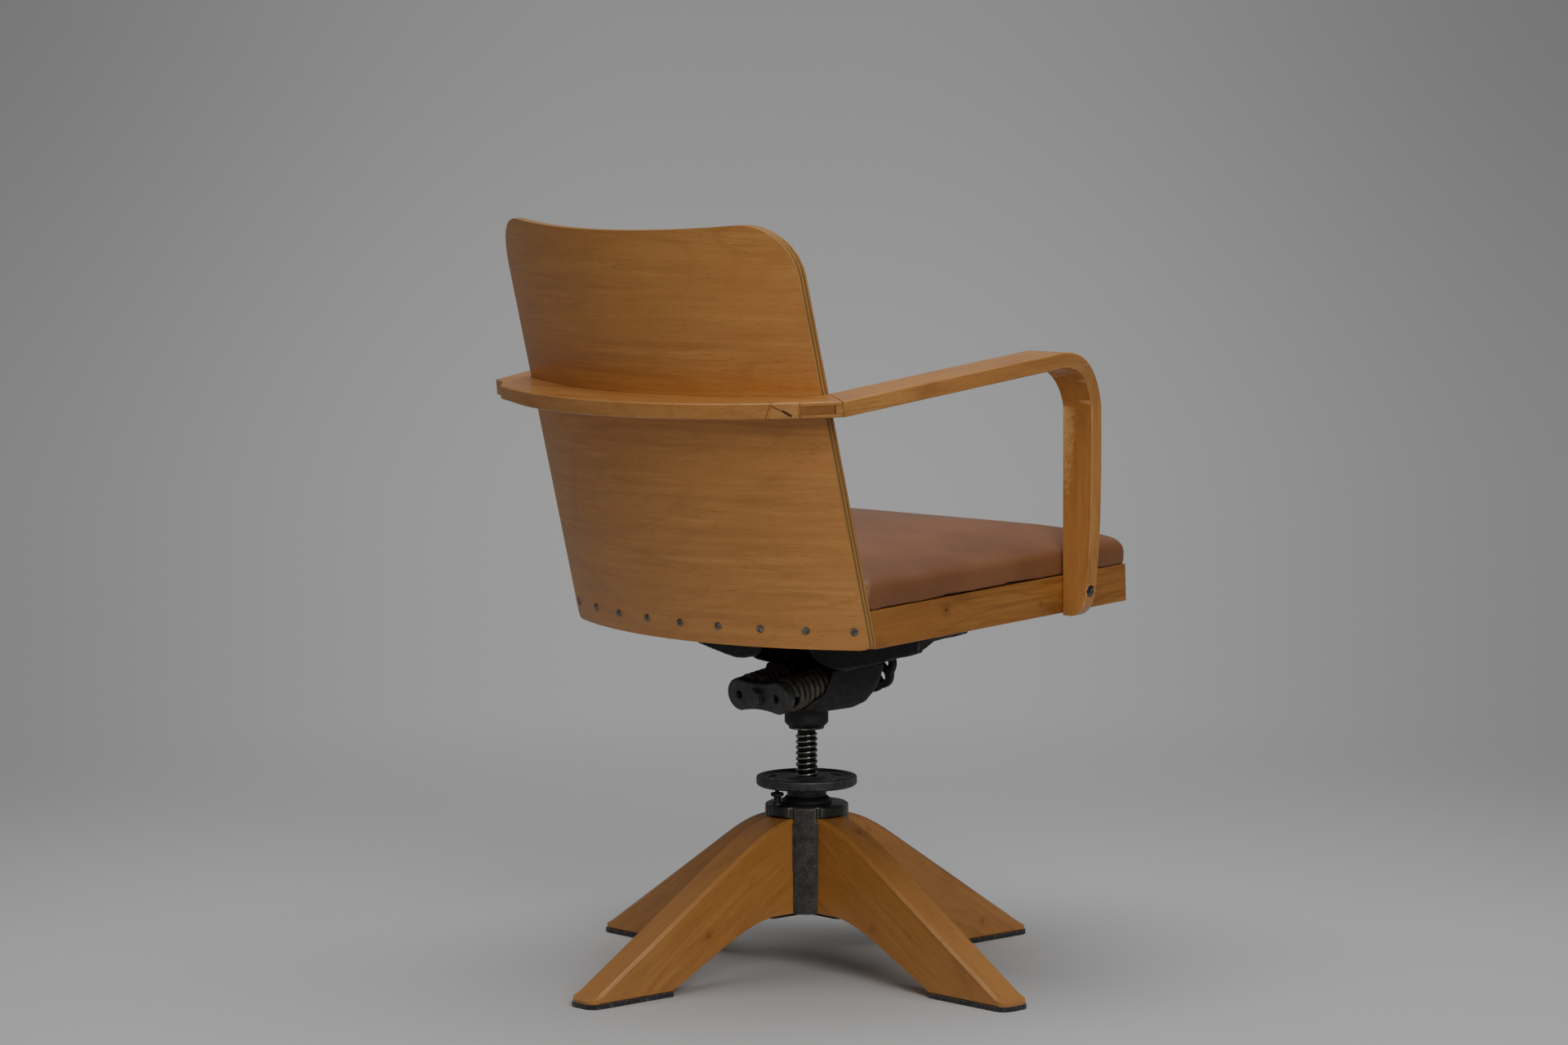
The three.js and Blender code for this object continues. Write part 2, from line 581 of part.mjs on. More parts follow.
// One unbroken coil from the yoke to the bracket, with ground flat ends
function makeSpring(length) {
  const radius = (spring.outer - spring.wire) / 2;
  const rise = length - spring.wire;
  const steps = Math.round(spring.turns * spring.stepsPerTurn);
  const centre = (i) => {
    const turn = (i / steps) * spring.turns;
    const { endTurns, endRise, turns } = spring;
    const middle = ((turn - endTurns) / (turns - 2 * endTurns)) * (rise - 2 * endRise);
    const lift = turn < endTurns ? (turn / endTurns) * endRise
      : turn > turns - endTurns ? rise - ((turns - turn) / endTurns) * endRise : endRise + middle;
    const angle = turn * 2 * Math.PI;
    return new THREE.Vector3(radius * Math.cos(angle), spring.wire / 2 + lift, radius * Math.sin(angle));
  };
  const centres = Array.from({ length: steps + 1 }, (_, i) => centre(i));
  reportLeastGap(centres);
  const rings = centres.map((point, i) => {
    const ahead = centres[Math.min(i + 1, steps)].clone().sub(centres[Math.max(i - 1, 0)]).normalize();
    const out = new THREE.Vector3(point.x, 0, point.z).normalize();
    const up = new THREE.Vector3().crossVectors(ahead, out).normalize();
    const side = new THREE.Vector3().crossVectors(up, ahead).normalize();
    return Array.from({ length: spring.sides }, (_, k) => {
      const angle = (k / spring.sides) * 2 * Math.PI;
      return point.clone().addScaledVector(side, Math.cos(angle) * spring.wire / 2)
        .addScaledVector(up, Math.sin(angle) * spring.wire / 2);
    });
  });
  return loft(rings);
}

// Prints the least gap between neighbouring turns, measured between points
function reportLeastGap(centres) {
  let least = Infinity;
  centres.forEach((a, i) => centres.slice(i + Math.round(0.6 * spring.stepsPerTurn)).forEach((b) => {
    least = Math.min(least, a.distanceTo(b) - spring.wire);
  }));
  console.log(`least gap between spring turns ${least.toFixed(2)} mm`);
}

function makeYoke() {
  const half = springSpacing / 2;
  const shape = new THREE.Shape();
  shape.absarc(half, 0, yoke.lobe, -Math.PI / 2, Math.PI / 2, false);
  shape.quadraticCurveTo(0, 2 * yoke.waist - yoke.lobe, -half, yoke.lobe);
  shape.absarc(-half, 0, yoke.lobe, Math.PI / 2, 1.5 * Math.PI, false);
  shape.quadraticCurveTo(0, yoke.lobe - 2 * yoke.waist, half, -yoke.lobe);
  const body = prism(shape, 0, yoke.thickness, { bevel: yoke.bevel, steps: 7 });
  const cuts = [-half, half].map((x) => (
    cylinder(yoke.hole, -overrun, yoke.thickness + overrun, 16).translate(x, 0, 0)));
  cuts.push(cylinder(rod.radius + seatGap, -overrun, yoke.thickness + overrun, 20));
  return carved(body, ...cuts).rotateX(Math.PI / 2);
}

function makeTensionBolt() {
  const reach = yokeRear + cam.radius + tension.hubLength + rod.headHeight;
  const shank = cylinder(rod.radius, -seatGap, reach, 20);
  const head = new THREE.CylinderGeometry(rod.headAcross / Math.sqrt(3), rod.headAcross / Math.sqrt(3),
    rod.headHeight, 6).rotateX(Math.PI / 2).translate(0, 0, -seatGap - rod.headHeight / 2);
  return joined(shank, head).rotateX(Math.PI / 2);
}

// Tension wheel: a lobed disc with round holes, and a hub that bears on the cam
function makeTensionWheel() {
  const steps = 6 * tension.lobes;
  const outline = Array.from({ length: steps }, (_, i) => {
    const angle = (i / steps) * 2 * Math.PI;
    const wave = Math.abs(Math.cos((angle * tension.lobes) / 2));
    const radius = tension.valley + (tension.radius - tension.valley) * wave;
    return new THREE.Vector2(radius * Math.cos(angle), radius * Math.sin(angle));
  });
  const { discAt, thickness } = tension;
  const disc = prism(new THREE.Shape(outline), discAt, discAt + thickness, { bevel: yoke.bevel });
  const hubBody = cylinder(tension.hub, 0, tension.hubLength, 28);
  const cuts = [cylinder(rod.radius + runningGap, -overrun, tension.hubLength + overrun, 20)];
  for (let i = 0; i < tension.lobes; i += 1) {
    cuts.push(cylinder(tension.hole, -overrun, tension.hubLength + overrun, 12)
      .translate(tension.holeRing, 0, 0).rotateZ((i * 2 * Math.PI) / tension.lobes));
  }
  return carved(joined(disc, hubBody), ...cuts).rotateX(Math.PI / 2);
}

addMesh(chair, 'tilt_bracket', makeBracket(), castIron());
addMesh(chair, 'thrust_washer', makeWasher(), steel());
addMesh(chair, 'spindle_nut', makeNut(), steel());
addMesh(chair, 'pivot_pin', makePivotPin(), steel()).position.copy(pivot);
chair.add(rodFrame);
const springLength = -seatPlane - yoke.thickness - 2 * seatGap;
for (const [name, side] of [['spring_right', -1], ['spring_left', 1]]) {
  const coil = addMesh(rodFrame, name, makeSpring(springLength), agedSteel());
  coil.position.set((side * springSpacing) / 2, seatPlane + seatGap, 0);
}
addMesh(rodFrame, 'spring_yoke', makeYoke(), castIron()).position.y = -seatGap;
addMesh(rodFrame, 'tension_bolt', makeTensionBolt(), castIron());
const tensionWheel = addMesh(rodFrame, 'tension_wheel', makeTensionWheel(), castIron());
tensionWheel.position.y = -yokeRear - cam.radius - seatGap;

// Seat: everything that tilts, measured from the tilt axis and leaning back at rest
const seat = new THREE.Group();
seat.position.copy(pivot);
seat.rotation.x = -radians(restTilt);
chair.add(seat);

const frameLow = 43.9; // underside of the seat frame above the tilt axis
const frameHigh = frameLow + seatFrameHeight;
const backFoot = 175.4; // rear face of the panel's lower edge behind the tilt axis
const rakeSlope = Math.tan(radians(backRake));
const seatFront = backFoot - seatDepth;
const halfRear = seatWidth / 2;
const rail = { thickness: 22, frontCorner: 5, rearThickness: 26, bevel: 1 };
const bearer = { width: 76, thickness: 20, middle: 24 };
const panel = { topCorner: 62, bottomCorner: 8, taper: 2, stations: 34 };
const screw = { count: 9, height: 21.3, margin: 13, head: 4.4, headHeight: 1.6, shank: 2, length: 30 };
const board = { thickness: 4, inset: 6 };
const cushion = { inset: 0.8, side: 24, crown: 33.5, rearGap: 3, rearCorner: 12, frontCorner: 18, frontOver: 7,
  draw: 3, foot: 2.5 };
const arm = { height: 330.9, rearAt: 236, slope: 3.11, bendOuter: 76, postFront: -169.8, bevel: 1.2 };
const post = { bottom: 41.6, boltY: -154.4, boltZ: 71, counterbore: 8.2, counterDepth: 6, narrow: 12.2 };
const bolt = { head: 7.4, headHeight: 4.5, shank: 4, length: 44 };
// The bow's corners are measured outward from the panel's side edges
const bow = { apex: 110.5, radius: 526, endInset: 2.2, corner: 4, leftCorner: 26, leftCornerAt: 31.5,
  leftJoint: 3, leftJointAt: 42.2, leftJointInner: 8, leftFlareAt: -32, leftFlare: 39.4, tongueFrom: 12,
  tongueShare: 0.5, bevel: 1.2 };
const armInner = halfRear + seatGap;
const armOuter = halfRear + armWidth;
const bowEnd = armOuter - bow.endInset;

// Circle of the back panel's rear face in plan, and its lean with height
const backRadius = (halfRear ** 2 + backSagitta ** 2) / (2 * backSagitta);
const backDepthAt = (x, inset) => Math.sqrt((backRadius - inset) ** 2 - x * x) - (backRadius - backSagitta);
const rearFaceAt = (x, z, inset = 0) => backFoot + backDepthAt(x, inset) + (z - frameLow) * rakeSlope;

// A curved slab parallel to the back panel between two depths in front of its rear face
function backSlab(half, shallow, deep, lowAt, highAt, stations, taper = 0) {
  const rings = [];
  for (let i = 0; i <= stations; i += 1) {
    const share = i / stations;
    const x = half * Math.sin((share - 0.5) * Math.PI);
    const [low, high] = [lowAt(x), highAt(x)];
    const corners = [[low, shallow], [high, shallow], [high, deep], [low, deep]];
    rings.push(corners.map(([z, depth]) => {
      const drawn = x * (1 - (taper / half) * ((z - frameLow) / backHeight));
      return new THREE.Vector3(drawn, rearFaceAt(drawn, z, depth), z);
    }));
  }
  return loft(rings);
}

// Fall of an edge at a rounded corner, measured along the panel's curve
const cornerDrop = (x, radius) => {
  const along = backRadius * Math.asin(Math.min(1, Math.abs(x) / backRadius));
  const into = Math.max(0, along - (backRadius * Math.asin(halfRear / backRadius) - radius));
  return radius - Math.sqrt(Math.max(0, radius * radius - into * into));
};

function screwPlaces() {
  const sweep = Math.asin(halfRear / backRadius) - screw.margin / backRadius;
  return Array.from({ length: screw.count }, (_, i) => {
    const angle = sweep * (-1 + (2 * i) / (screw.count - 1));
    const x = backRadius * Math.sin(angle);
    const z = frameLow + screw.height;
    return { x, y: rearFaceAt(x, z), z, angle };
  });
}

// A screw on its own axis, its head behind the panel and its point forward
function screwAtPlace(geometry, { x, y, z, angle }) {
  return geometry.rotateX(Math.PI / 2 - radians(backRake)).rotateZ(-angle).translate(x, y, z);
}

// The panel is cut square to its lean, so its curved top edge rises to both sides
function makePanel() {
  const top = frameLow + backHeight;
  const rise = (x) => (backSagitta - backDepthAt(x, 0)) * Math.sin(radians(backRake));
  const slab = backSlab(halfRear, 0, panelThickness / Math.cos(radians(backRake)),
    (x) => frameLow + cornerDrop(x, panel.bottomCorner),
    (x) => top + rise(x) - cornerDrop(x, panel.topCorner), panel.stations, panel.taper);
  return carved(slab, ...screwPlaces().map((place) => screwAtPlace(
    cylinder(screw.shank + seatGap, -overrun, panelThickness + 2 * overrun, 8), place)));
}

function makeScrew() {
  const { head, headHeight, shank, length } = screw;
  return lathe([[0, -headHeight - seatGap], [head * 0.55, -headHeight - seatGap], [head, -headHeight / 2],
    [head, -seatGap], [shank, -seatGap], [shank, length], [0, length]], 7);
}

// Everything behind the panel's front face, for trimming what meets it
function behindPanel() {
  const depth = panelThickness / Math.cos(radians(backRake)) + seatGap;
  return backSlab(halfRear + 4 * overrun, -rail.thickness * 4, depth, () => frameLow - 2 * overrun,
    () => frameHigh + 2 * overrun, panel.stations);
}

function sideRail(side) {
  const reach = backFoot + overrun;
  const inner = halfRear - rail.thickness;
  const outline = roundedOutline([[halfRear, seatFront, rail.frontCorner], [halfRear, reach],
    [inner, reach], [inner, seatFront]]);
  const body = prism(outline, frameLow, frameHigh, { bevel: rail.bevel });
  const cuts = [behindPanel(), boltHole()];
  cuts.push(...screwPlaces().map((place) => screwAtPlace(
    cylinder(screw.shank + seatGap, -overrun, screw.length + overrun / 2, 8), place)));
  const right = carved(body, ...cuts);
  return side < 0 ? mirrored(right) : right;
}

function mirrored(geometry) {
  const copy = welded(geometry).applyMatrix4(new THREE.Matrix4().makeScale(-1, 1, 1));
  const faces = Array.from(copy.index.array);
  copy.setIndex(faces.reverse());
  return copy;
}

function boltHole() {
  return alongX(cylinder(bolt.shank + seatGap, 0, 2 * seatWidth, 14))
    .translate(halfRear / 2, post.boltY, post.boltZ);
}

function frontRail() {
  const half = halfRear - rail.thickness - seatGap;
  const outline = roundedOutline([[-half, seatFront], [half, seatFront],
    [half, seatFront + rail.thickness], [-half, seatFront + rail.thickness]]);
  return prism(outline, frameLow, frameHigh, { bevel: rail.bevel });
}

function rearRail() {
  const shallow = panelThickness / Math.cos(radians(backRake)) + seatGap;
  const half = halfRear - rail.thickness - seatGap;
  const slab = backSlab(half, shallow, shallow + rail.rearThickness, () => frameLow, () => frameHigh,
    panel.stations / 2);
  return carved(slab, ...screwPlaces().map((place) => screwAtPlace(
    cylinder(screw.shank + seatGap, -overrun, screw.length + overrun / 2, 8), place)));
}

// Bearer across the frame, above the spider
function makeBearer() {
  const half = halfRear - rail.thickness - seatGap;
  const [front, rear] = [bearer.middle - bearer.width / 2, bearer.middle + bearer.width / 2];
  const outline = roundedOutline([[-half, front], [half, front], [half, rear], [-half, rear]]);
  const cuts = [spider.screwFront, spider.screwRear].flatMap((middle) => [-1, 1].map((side) => cylinder(
    spiderScrew.shank + seatGap, frameLow - overrun, frameLow + spiderScrew.length, 10)
    .translate(side * spider.screwAt, middle, 0)));
  return carved(prism(outline, frameLow, frameLow + bearer.thickness), ...cuts);
}

// Plan of the seat pad: drawn-in sides, rounded corners and a rear edge along the back
function seatPlan(inset, corners, over = 0) {
  const panelDepth = panelThickness / Math.cos(radians(backRake));
  const rearAt = (x) => rearFaceAt(x, frameHigh, panelDepth) - cushion.rearGap;
  const front = seatFront + inset - over;
  const half = halfRear - inset;
  const edge = half - cushion.rearCorner;
  const points = [];
  const rearSteps = 12;
  for (let i = 0; i <= rearSteps; i += 1) {
    const x = edge * (-1 + (2 * i) / rearSteps);
    points.push(new THREE.Vector2(x, rearAt(x) - inset));
  }
  const shape = new THREE.Shape(points);
  const sideRear = rearAt(edge) - inset - cushion.rearCorner / 2;
  shape.quadraticCurveTo(half, rearAt(edge) - inset, half, sideRear - cushion.rearCorner / 2);
  const sideFront = front + corners;
  const waist = half - cushion.draw;
  shape.quadraticCurveTo(waist, (sideRear + sideFront) / 2, half, sideFront);
  shape.quadraticCurveTo(half, front, half - corners, front);
  shape.lineTo(corners - half, front);
  shape.quadraticCurveTo(-half, front, -half, sideFront);
  shape.quadraticCurveTo(-waist, (sideRear + sideFront) / 2, -half, sideRear - cushion.rearCorner / 2);
  shape.quadraticCurveTo(-half, rearAt(edge) - inset, -edge, rearAt(edge) - inset);
  return shape;
}

function makeBoard() {
  const low = frameHigh + seatGap;
  return prism(seatPlan(board.inset, cushion.frontCorner), low, low + board.thickness);
}

// Crowned cushion: rings that rise up the side and then close over the crown
function makeCushion() {
  const low = frameHigh + board.thickness + 2 * seatGap;
  const outline = seatPlan(cushion.inset, cushion.frontCorner, cushion.frontOver).getPoints(5);
  if (outline[0].distanceTo(outline.at(-1)) < weldTolerance) outline.pop();
  const middle = new THREE.Vector2(0, (seatFront + backFoot) / 2);
  const reach = halfRear;
  const sideShares = [[0, 1], [0.15, 0.16], [0.45, 0], [0.8, 0.24], [1, 1.2]];
  const levels = sideShares.map(([share, drawn]) => (
    { z: low + share * cushion.side, scale: 1 - (drawn * cushion.foot) / reach }));
  const rows = 8;
  const shoulder = levels.at(-1).scale;
  for (let i = 1; i <= rows; i += 1) {
    const scale = shoulder * Math.cos((i / (rows + 0.5)) * (Math.PI / 2));
    levels.push({ z: low + cushion.side + cushion.crown * (1 - scale ** 3) * (1 - 0.25 * scale), scale });
  }
  return loft(levels.map(({ z, scale }) => outline.map((p) => new THREE.Vector3(
    middle.x + (p.x - middle.x) * scale, middle.y + (p.y - middle.y) * scale, z))));
}

// Seat spider: a cast beam with deep wings that reach under both side rails, two ears on
// the pivot pin, and a front wall with the cam that the tension wheel bears on
const spider = { plate: 6.5, rearFace: 71, rearWeb: 7, frontWing: -12, frontWeb: 6, wallLow: -6,
  reach: halfRear - rail.thickness, screwAt: halfRear - 42, screwFront: 0, screwRear: 44, corner: 14,
  frontRaise: 12, endRun: 40 };
const spiderScrew = { head: 6, headHeight: 3.5, shank: 2.5, length: 16 };
// Underside of the rear wing, in shares of the wing's reach and of the frame's height above the tilt axis
const wingUndersideShares = [[0.166, 0.547], [0.176, 0.308], [0.2, 0.148], [0.236, 0.032], [0.274, -0.036],
  [0.335, -0.096], [0.396, -0.112], [0.481, -0.05], [0.604, 0.08], [0.676, 0.155], [0.832, 0.37],
  [0.904, 0.44], [0.988, 0.558]];

function wingWeb(front, thickness, from, raise) {
  const top = frameLow - seatGap - spider.plate / 2;
  const under = wingUndersideShares.map(([out, high]) => [out * spider.reach, high * frameLow])
    .filter(([out]) => out >= from).map(([out, z]) => [out, Math.min(z + raise, top - spider.plate / 6)]);
  const outline = [[under[0][0], top], ...under, [spider.reach, top]];
  return prism(new THREE.Shape(outline.map(([x, z]) => new THREE.Vector2(x, z))), 0, thickness)
    .applyMatrix4(lengthways).translate(0, front + thickness, 0);
}

// Skirt at the end of a wing, from the rear web's low end up to the plate
function wingEnd() {
  const top = frameLow - seatGap - spider.plate / 2;
  const rear = spider.rearFace - spider.rearWeb / 2;
  const [outShare, highShare] = wingUndersideShares.at(-1);
  const outline = roundedOutline([[rear, highShare * frameLow], [rear, top], [rear - spider.endRun, top]]);
  return crossPrism(outline, outShare * spider.reach - spider.frontWeb, outShare * spider.reach);
}

function makeSpider() {
  const high = frameLow - seatGap;
  const low = high - spider.plate;
  const earInner = bracket.halfWidth + ear.gap;
  const earOuter = earInner + ear.thickness;
  // The cam is laid out about the bolt's axis, seen from the leaning seat
  const foot = camFoot.clone().sub(pivot).applyAxisAngle(new THREE.Vector3(1, 0, 0), radians(restTilt));
  const front = foot.y - cam.radius + cam.thickness / 4;
  const parts = [];
  parts.push(prism(roundedOutline([[-earOuter, front], [earOuter, front], [earOuter, spider.rearFace],
    [-earOuter, spider.rearFace]]), low, high));
  const { reach, corner } = spider;
  parts.push(prism(roundedOutline([[-reach, spider.frontWing, corner], [reach, spider.frontWing, corner],
    [reach, spider.rearFace, corner], [-reach, spider.rearFace, corner]]), low, high));
  const earSide = roundedOutline([[front, 0, corner], [-front / 2, -ear.bottom, corner],
    [spider.rearFace / 2, -ear.bottom, 1.5 * corner],
    [spider.rearFace - spider.rearWeb / 2, -spider.rearWeb / 2, corner],
    [spider.rearFace - spider.rearWeb / 2, low + spider.plate / 2], [front, low + spider.plate / 2]]);
  for (const side of [-1, 1]) {
    parts.push(crossPrism(earSide, side > 0 ? earInner : -earOuter, side > 0 ? earOuter : -earInner));
    const webs = [wingWeb(spider.rearFace - spider.rearWeb, spider.rearWeb, 0, 0),
      wingWeb(spider.frontWing, spider.frontWeb, earOuter, spider.frontRaise), wingEnd()];
    parts.push(...webs.map((web) => (side > 0 ? web : mirrored(web))));
  }
  parts.push(frontWall(front, earOuter, low));
  const cuts = [alongX(cylinder(pivotPin.radius + runningGap, -seatWidth, seatWidth, 24))];
  for (const middle of [spider.screwFront, spider.screwRear]) {
    for (const side of [-1, 1]) {
      cuts.push(cylinder(spiderScrew.shank + seatGap, low - overrun, high + overrun, 10)
        .translate(side * spider.screwAt, middle, 0));
      cuts.push(cylinder(spiderScrew.head + seatGap, -ear.bottom, low, 12)
        .translate(side * spider.screwAt, middle, 0));
    }
  }
  return carved(joined(...parts, camTongue(foot)), ...cuts, boltSlot(foot));
}

// Tongue whose front face is part of a circle about the bolt's foot on the tilt axis
function camTongue(foot) {
  const [high, low] = [frameLow - spider.plate, foot.z - cam.below];
  const [near, far] = [foot.y - cam.radius + cam.depth, foot.y - 1.5 * cam.radius];
  const block = box(2 * cam.half, near - far, high - low, 0, (near + far) / 2, (high + low) / 2);
  const reach = cam.half + overrun;
  const face = alongX(cylinder(cam.radius, -reach, reach, 4 * roundSteps)).translate(0, foot.y, foot.z);
  const back = alongX(cylinder(cam.radius - cam.thickness, -reach, reach, 2 * roundSteps))
    .translate(0, foot.y, foot.z);
  return carved(common(block, face), back);
}

// Slot for the tension bolt, open below, in the bolt's own lean
function boltSlot(foot) {
  const half = rod.radius + 3 * runningGap;
  const [high, low] = [cam.slotTop, -cam.below - 2 * overrun];
  return box(2 * half, cam.radius, high - low, 0, -cam.radius, (high + low) / 2)
    .rotateX(radians(restTilt) - rodDown).translate(0, foot.y, foot.z);
}

function frontWall(front, half, low) {
  const rear = front + 0.7 * cam.thickness;
  const shape = roundedOutline([[front, low + spider.plate / 2], [front, spider.wallLow],
    [rear, spider.wallLow], [rear, low + spider.plate / 2]]);
  return crossPrism(shape, -half, half);
}

function makeSpiderScrew() {
  const top = frameLow - 2 * seatGap - spider.plate;
  const { head, headHeight, shank, length } = spiderScrew;
  return lathe([[0, top - headHeight], [head * 0.7, top - headHeight], [head, top - headHeight * 0.4],
    [head, top], [shank, top], [shank, top + length], [0, top + length]], 8);
}

// Arms and bow: laid out flat in a plane that rises to the front, z measured down from its top
const armPlane = new THREE.Group();
armPlane.position.set(0, arm.rearAt, arm.height);
armPlane.rotation.x = -radians(arm.slope);
seat.add(armPlane);
armPlane.updateMatrix();
const seatToArms = armPlane.matrix.clone().invert();
const innerEdge = -9.5; // where the arm's inner edge leaves the panel's corner

const bowRearAt = (x) => bow.apex - bow.radius + Math.sqrt(bow.radius ** 2 - x * x);

// Region of the bow in plan, wide enough at the front to be trimmed by the panel
function bowPlan() {
  const steps = 24;
  const points = [new THREE.Vector2(-halfRear - seatGap, innerEdge)];
  points.push(new THREE.Vector2(-bowEnd, bowRearAt(bowEnd)));
  for (let i = 1; i < steps; i += 1) {
    const x = -bowEnd + ((halfRear + bow.leftJoint + bowEnd) * i) / steps;
    points.push(new THREE.Vector2(x, bowRearAt(x)));
  }
  points.push(new THREE.Vector2(halfRear + bow.leftJoint, bow.leftJointAt));
  points.push(new THREE.Vector2(halfRear + bow.leftJointInner, innerEdge));
  return new THREE.Shape(points);
}

// Everything in front of the panel's rear face, in the arm plane's own frame
function beforeBack() {
  const low = arm.height - 4 * armThickness;
  const high = arm.height + 4 * armThickness;
  return backSlab(halfRear, -seatGap, 1.5 * backSagitta, () => low, () => high, panel.stations)
    .applyMatrix4(seatToArms);
}

// The right arm ends in a tongue that shows through the bow's corner
function tongue(grow) {
  const share = bow.tongueShare / 2;
  const [low, high] = [-armThickness * (0.5 + share) - grow, -armThickness * (0.5 - share) + grow];
  const from = -halfRear - bow.tongueFrom + grow;
  const root = innerEdge - overrun;
  const shape = new THREE.Shape([[from, root], [-bowEnd, root], [-bowEnd, bowRearAt(bowEnd)],
    [from, bowRearAt(from)]].map(([x, y]) => new THREE.Vector2(x, y)));
  if (grow === 0) return prism(shape, low, high);
  return prism(new THREE.Shape([[from, root], [-bowEnd - overrun, root], [-bowEnd - overrun, bow.apex],
    [from, bow.apex]].map(([x, y]) => new THREE.Vector2(x, y))), low, high);
}

function makeBow() {
  const body = prism(bowPlan(), -armThickness, 0, { bevel: bow.bevel });
  return carved(body, beforeBack(), tongue(seatGap));
}

// Path of an arm in side view: level, round the bend, down the post
const bendMiddle = armThickness / 2;
const postTop = -arm.bendOuter; // height where the bend meets the post, below the arm's top
const postFrontInPlane = arm.postFront - arm.rearAt;

function armStations() {
  const middleRadius = arm.bendOuter - armThickness / 2;
  const centre = { y: postFrontInPlane + arm.bendOuter, z: postTop };
  const stations = [];
  for (const y of [3 * bow.apex / 4, innerEdge - 4 * bow.corner, centre.y / 2]) {
    stations.push({ y, z: -bendMiddle, turn: 0 });
  }
  const steps = 12;
  for (let i = 0; i <= steps; i += 1) {
    const turn = ((Math.PI / 2 - radians(arm.slope)) * i) / steps;
    const [y, z] = [centre.y - middleRadius * Math.sin(turn), centre.z + middleRadius * Math.cos(turn)];
    stations.push({ y, z, turn });
  }
  return stations;
}

// One cross-section of arm or post with its long edges bevelled
function armRing({ y, z, turn }, inner, outer, thickness = armThickness, bevel = arm.bevel) {
  const half = thickness / 2;
  const cut = Math.min(bevel, (outer - inner) / 3);
  const corners = [[inner + cut, half], [outer - cut, half], [outer, half - cut], [outer, cut - half],
    [outer - cut, -half], [inner + cut, -half], [inner, cut - half], [inner, half - cut]];
  const normal = { y: -Math.sin(turn), z: Math.cos(turn) };
  return corners.map(([x, n]) => new THREE.Vector3(x, y + n * normal.y, z + n * normal.z));
}

// The outer edge draws in round the bend, from the arm's width to the post's
const bendOuterAt = (i, count) => armOuter - post.narrow * THREE.MathUtils.smoothstep(i, 4, count - 1);

function armPiece(side) {
  const stations = armStations();
  const mitreAt = Math.ceil(stations.length / 2) + 2;
  const upper = stations.slice(0, mitreAt);
  const body = loft(upper.map((station, i) => armRing(station, armInner, bendOuterAt(i, stations.length))));
  const plan = side < 0 ? rightArmRegion() : leftArmRegion();
  const depth = [-2 * arm.bendOuter, overrun];
  const loose = side < 0 ? mirrored(body) : body;
  const trimmed = carved(common(loose, prism(plan, ...depth)), beforeBack());
  if (side > 0) return trimmed;
  return joined(trimmed, carved(tongue(0), beforeBack()));
}

function rightArmRegion() {
  const back = bowRearAt(bowEnd);
  return new THREE.Shape([[-halfRear, innerEdge - seatGap], [-bowEnd - seatGap / 2, back - seatGap],
    [-armOuter - overrun, back - seatGap], [-armOuter - overrun, -2 * seatWidth],
    [-halfRear + overrun, -2 * seatWidth], [-halfRear + overrun, innerEdge - seatGap]]
    .map(([x, y]) => new THREE.Vector2(x, y)));
}

function leftArmRegion() {
  const inner = halfRear + seatGap;
  return new THREE.Shape([[halfRear - overrun, innerEdge - seatGap],
    [inner + bow.leftJointInner, innerEdge - seatGap], [inner + bow.leftJoint, bow.leftJointAt],
    [halfRear + bow.leftCorner, bow.leftCornerAt], [halfRear + bow.leftFlare, bow.leftFlareAt],
    [armOuter, 4 * bow.leftFlareAt], [armOuter + overrun, 5 * bow.leftFlareAt],
    [armOuter + overrun, -2 * seatWidth], [halfRear - overrun, -2 * seatWidth]]
    .map(([x, y]) => new THREE.Vector2(x, y)));
}

// Lower half of the bend and the post down to its rounded foot, in the seat's frame
function postPiece(side) {
  const stations = armStations();
  const mitreAt = Math.ceil(stations.length / 2) + 1;
  const toSeat = armPlane.matrix;
  const rings = stations.slice(mitreAt).map((station, i) => armRing(station, armInner,
    bendOuterAt(i + mitreAt, stations.length)).map((p) => p.applyMatrix4(toSeat)));
  rings[0].forEach((p, k) => p.lerp(rings[1][k], 2 * seatGap / armThickness));
  const last = stations.at(-1);
  const start = new THREE.Vector3(0, last.y, last.z).applyMatrix4(toSeat);
  const downShares = [[0.3, 1], [0.52, 1.1], [0.63, 1.2], [0.77, 1.43], [0.894, 1.68], [0.942, 2.05],
    [0.974, 2.5], [0.992, 3], [1, 3.4]];
  for (const [down, taper] of downShares) {
    const z = start.z + (post.bottom - start.z) * down;
    const lean = start.y + (post.boltY - start.y) * down;
    rings.push(armRing({ y: lean, z, turn: Math.PI / 2 }, armInner, armOuter - taper * post.narrow));
  }
  const bore = alongX(cylinder(post.counterbore, 0, seatWidth, 24))
    .translate(boltFace() - post.counterDepth, post.boltY, post.boltZ);
  const body = carved(loft(rings), bore, boltHole());
  return side < 0 ? mirrored(body) : body;
}

const boltFace = () => armOuter - 1.7 * post.narrow;

function makeBolt() {
  const seatAt = boltFace() - post.counterDepth - seatGap;
  const dome = bolt.headHeight / 3;
  const { head, headHeight, shank, length } = bolt;
  return alongX(lathe([[0, seatAt - length], [shank, seatAt - length], [shank, seatAt + seatGap * 2],
    [head, seatAt + seatGap * 2], [head, seatAt + headHeight - dome],
    [head - 2 * dome, seatAt + headHeight], [0, seatAt + headHeight]], 16));
}

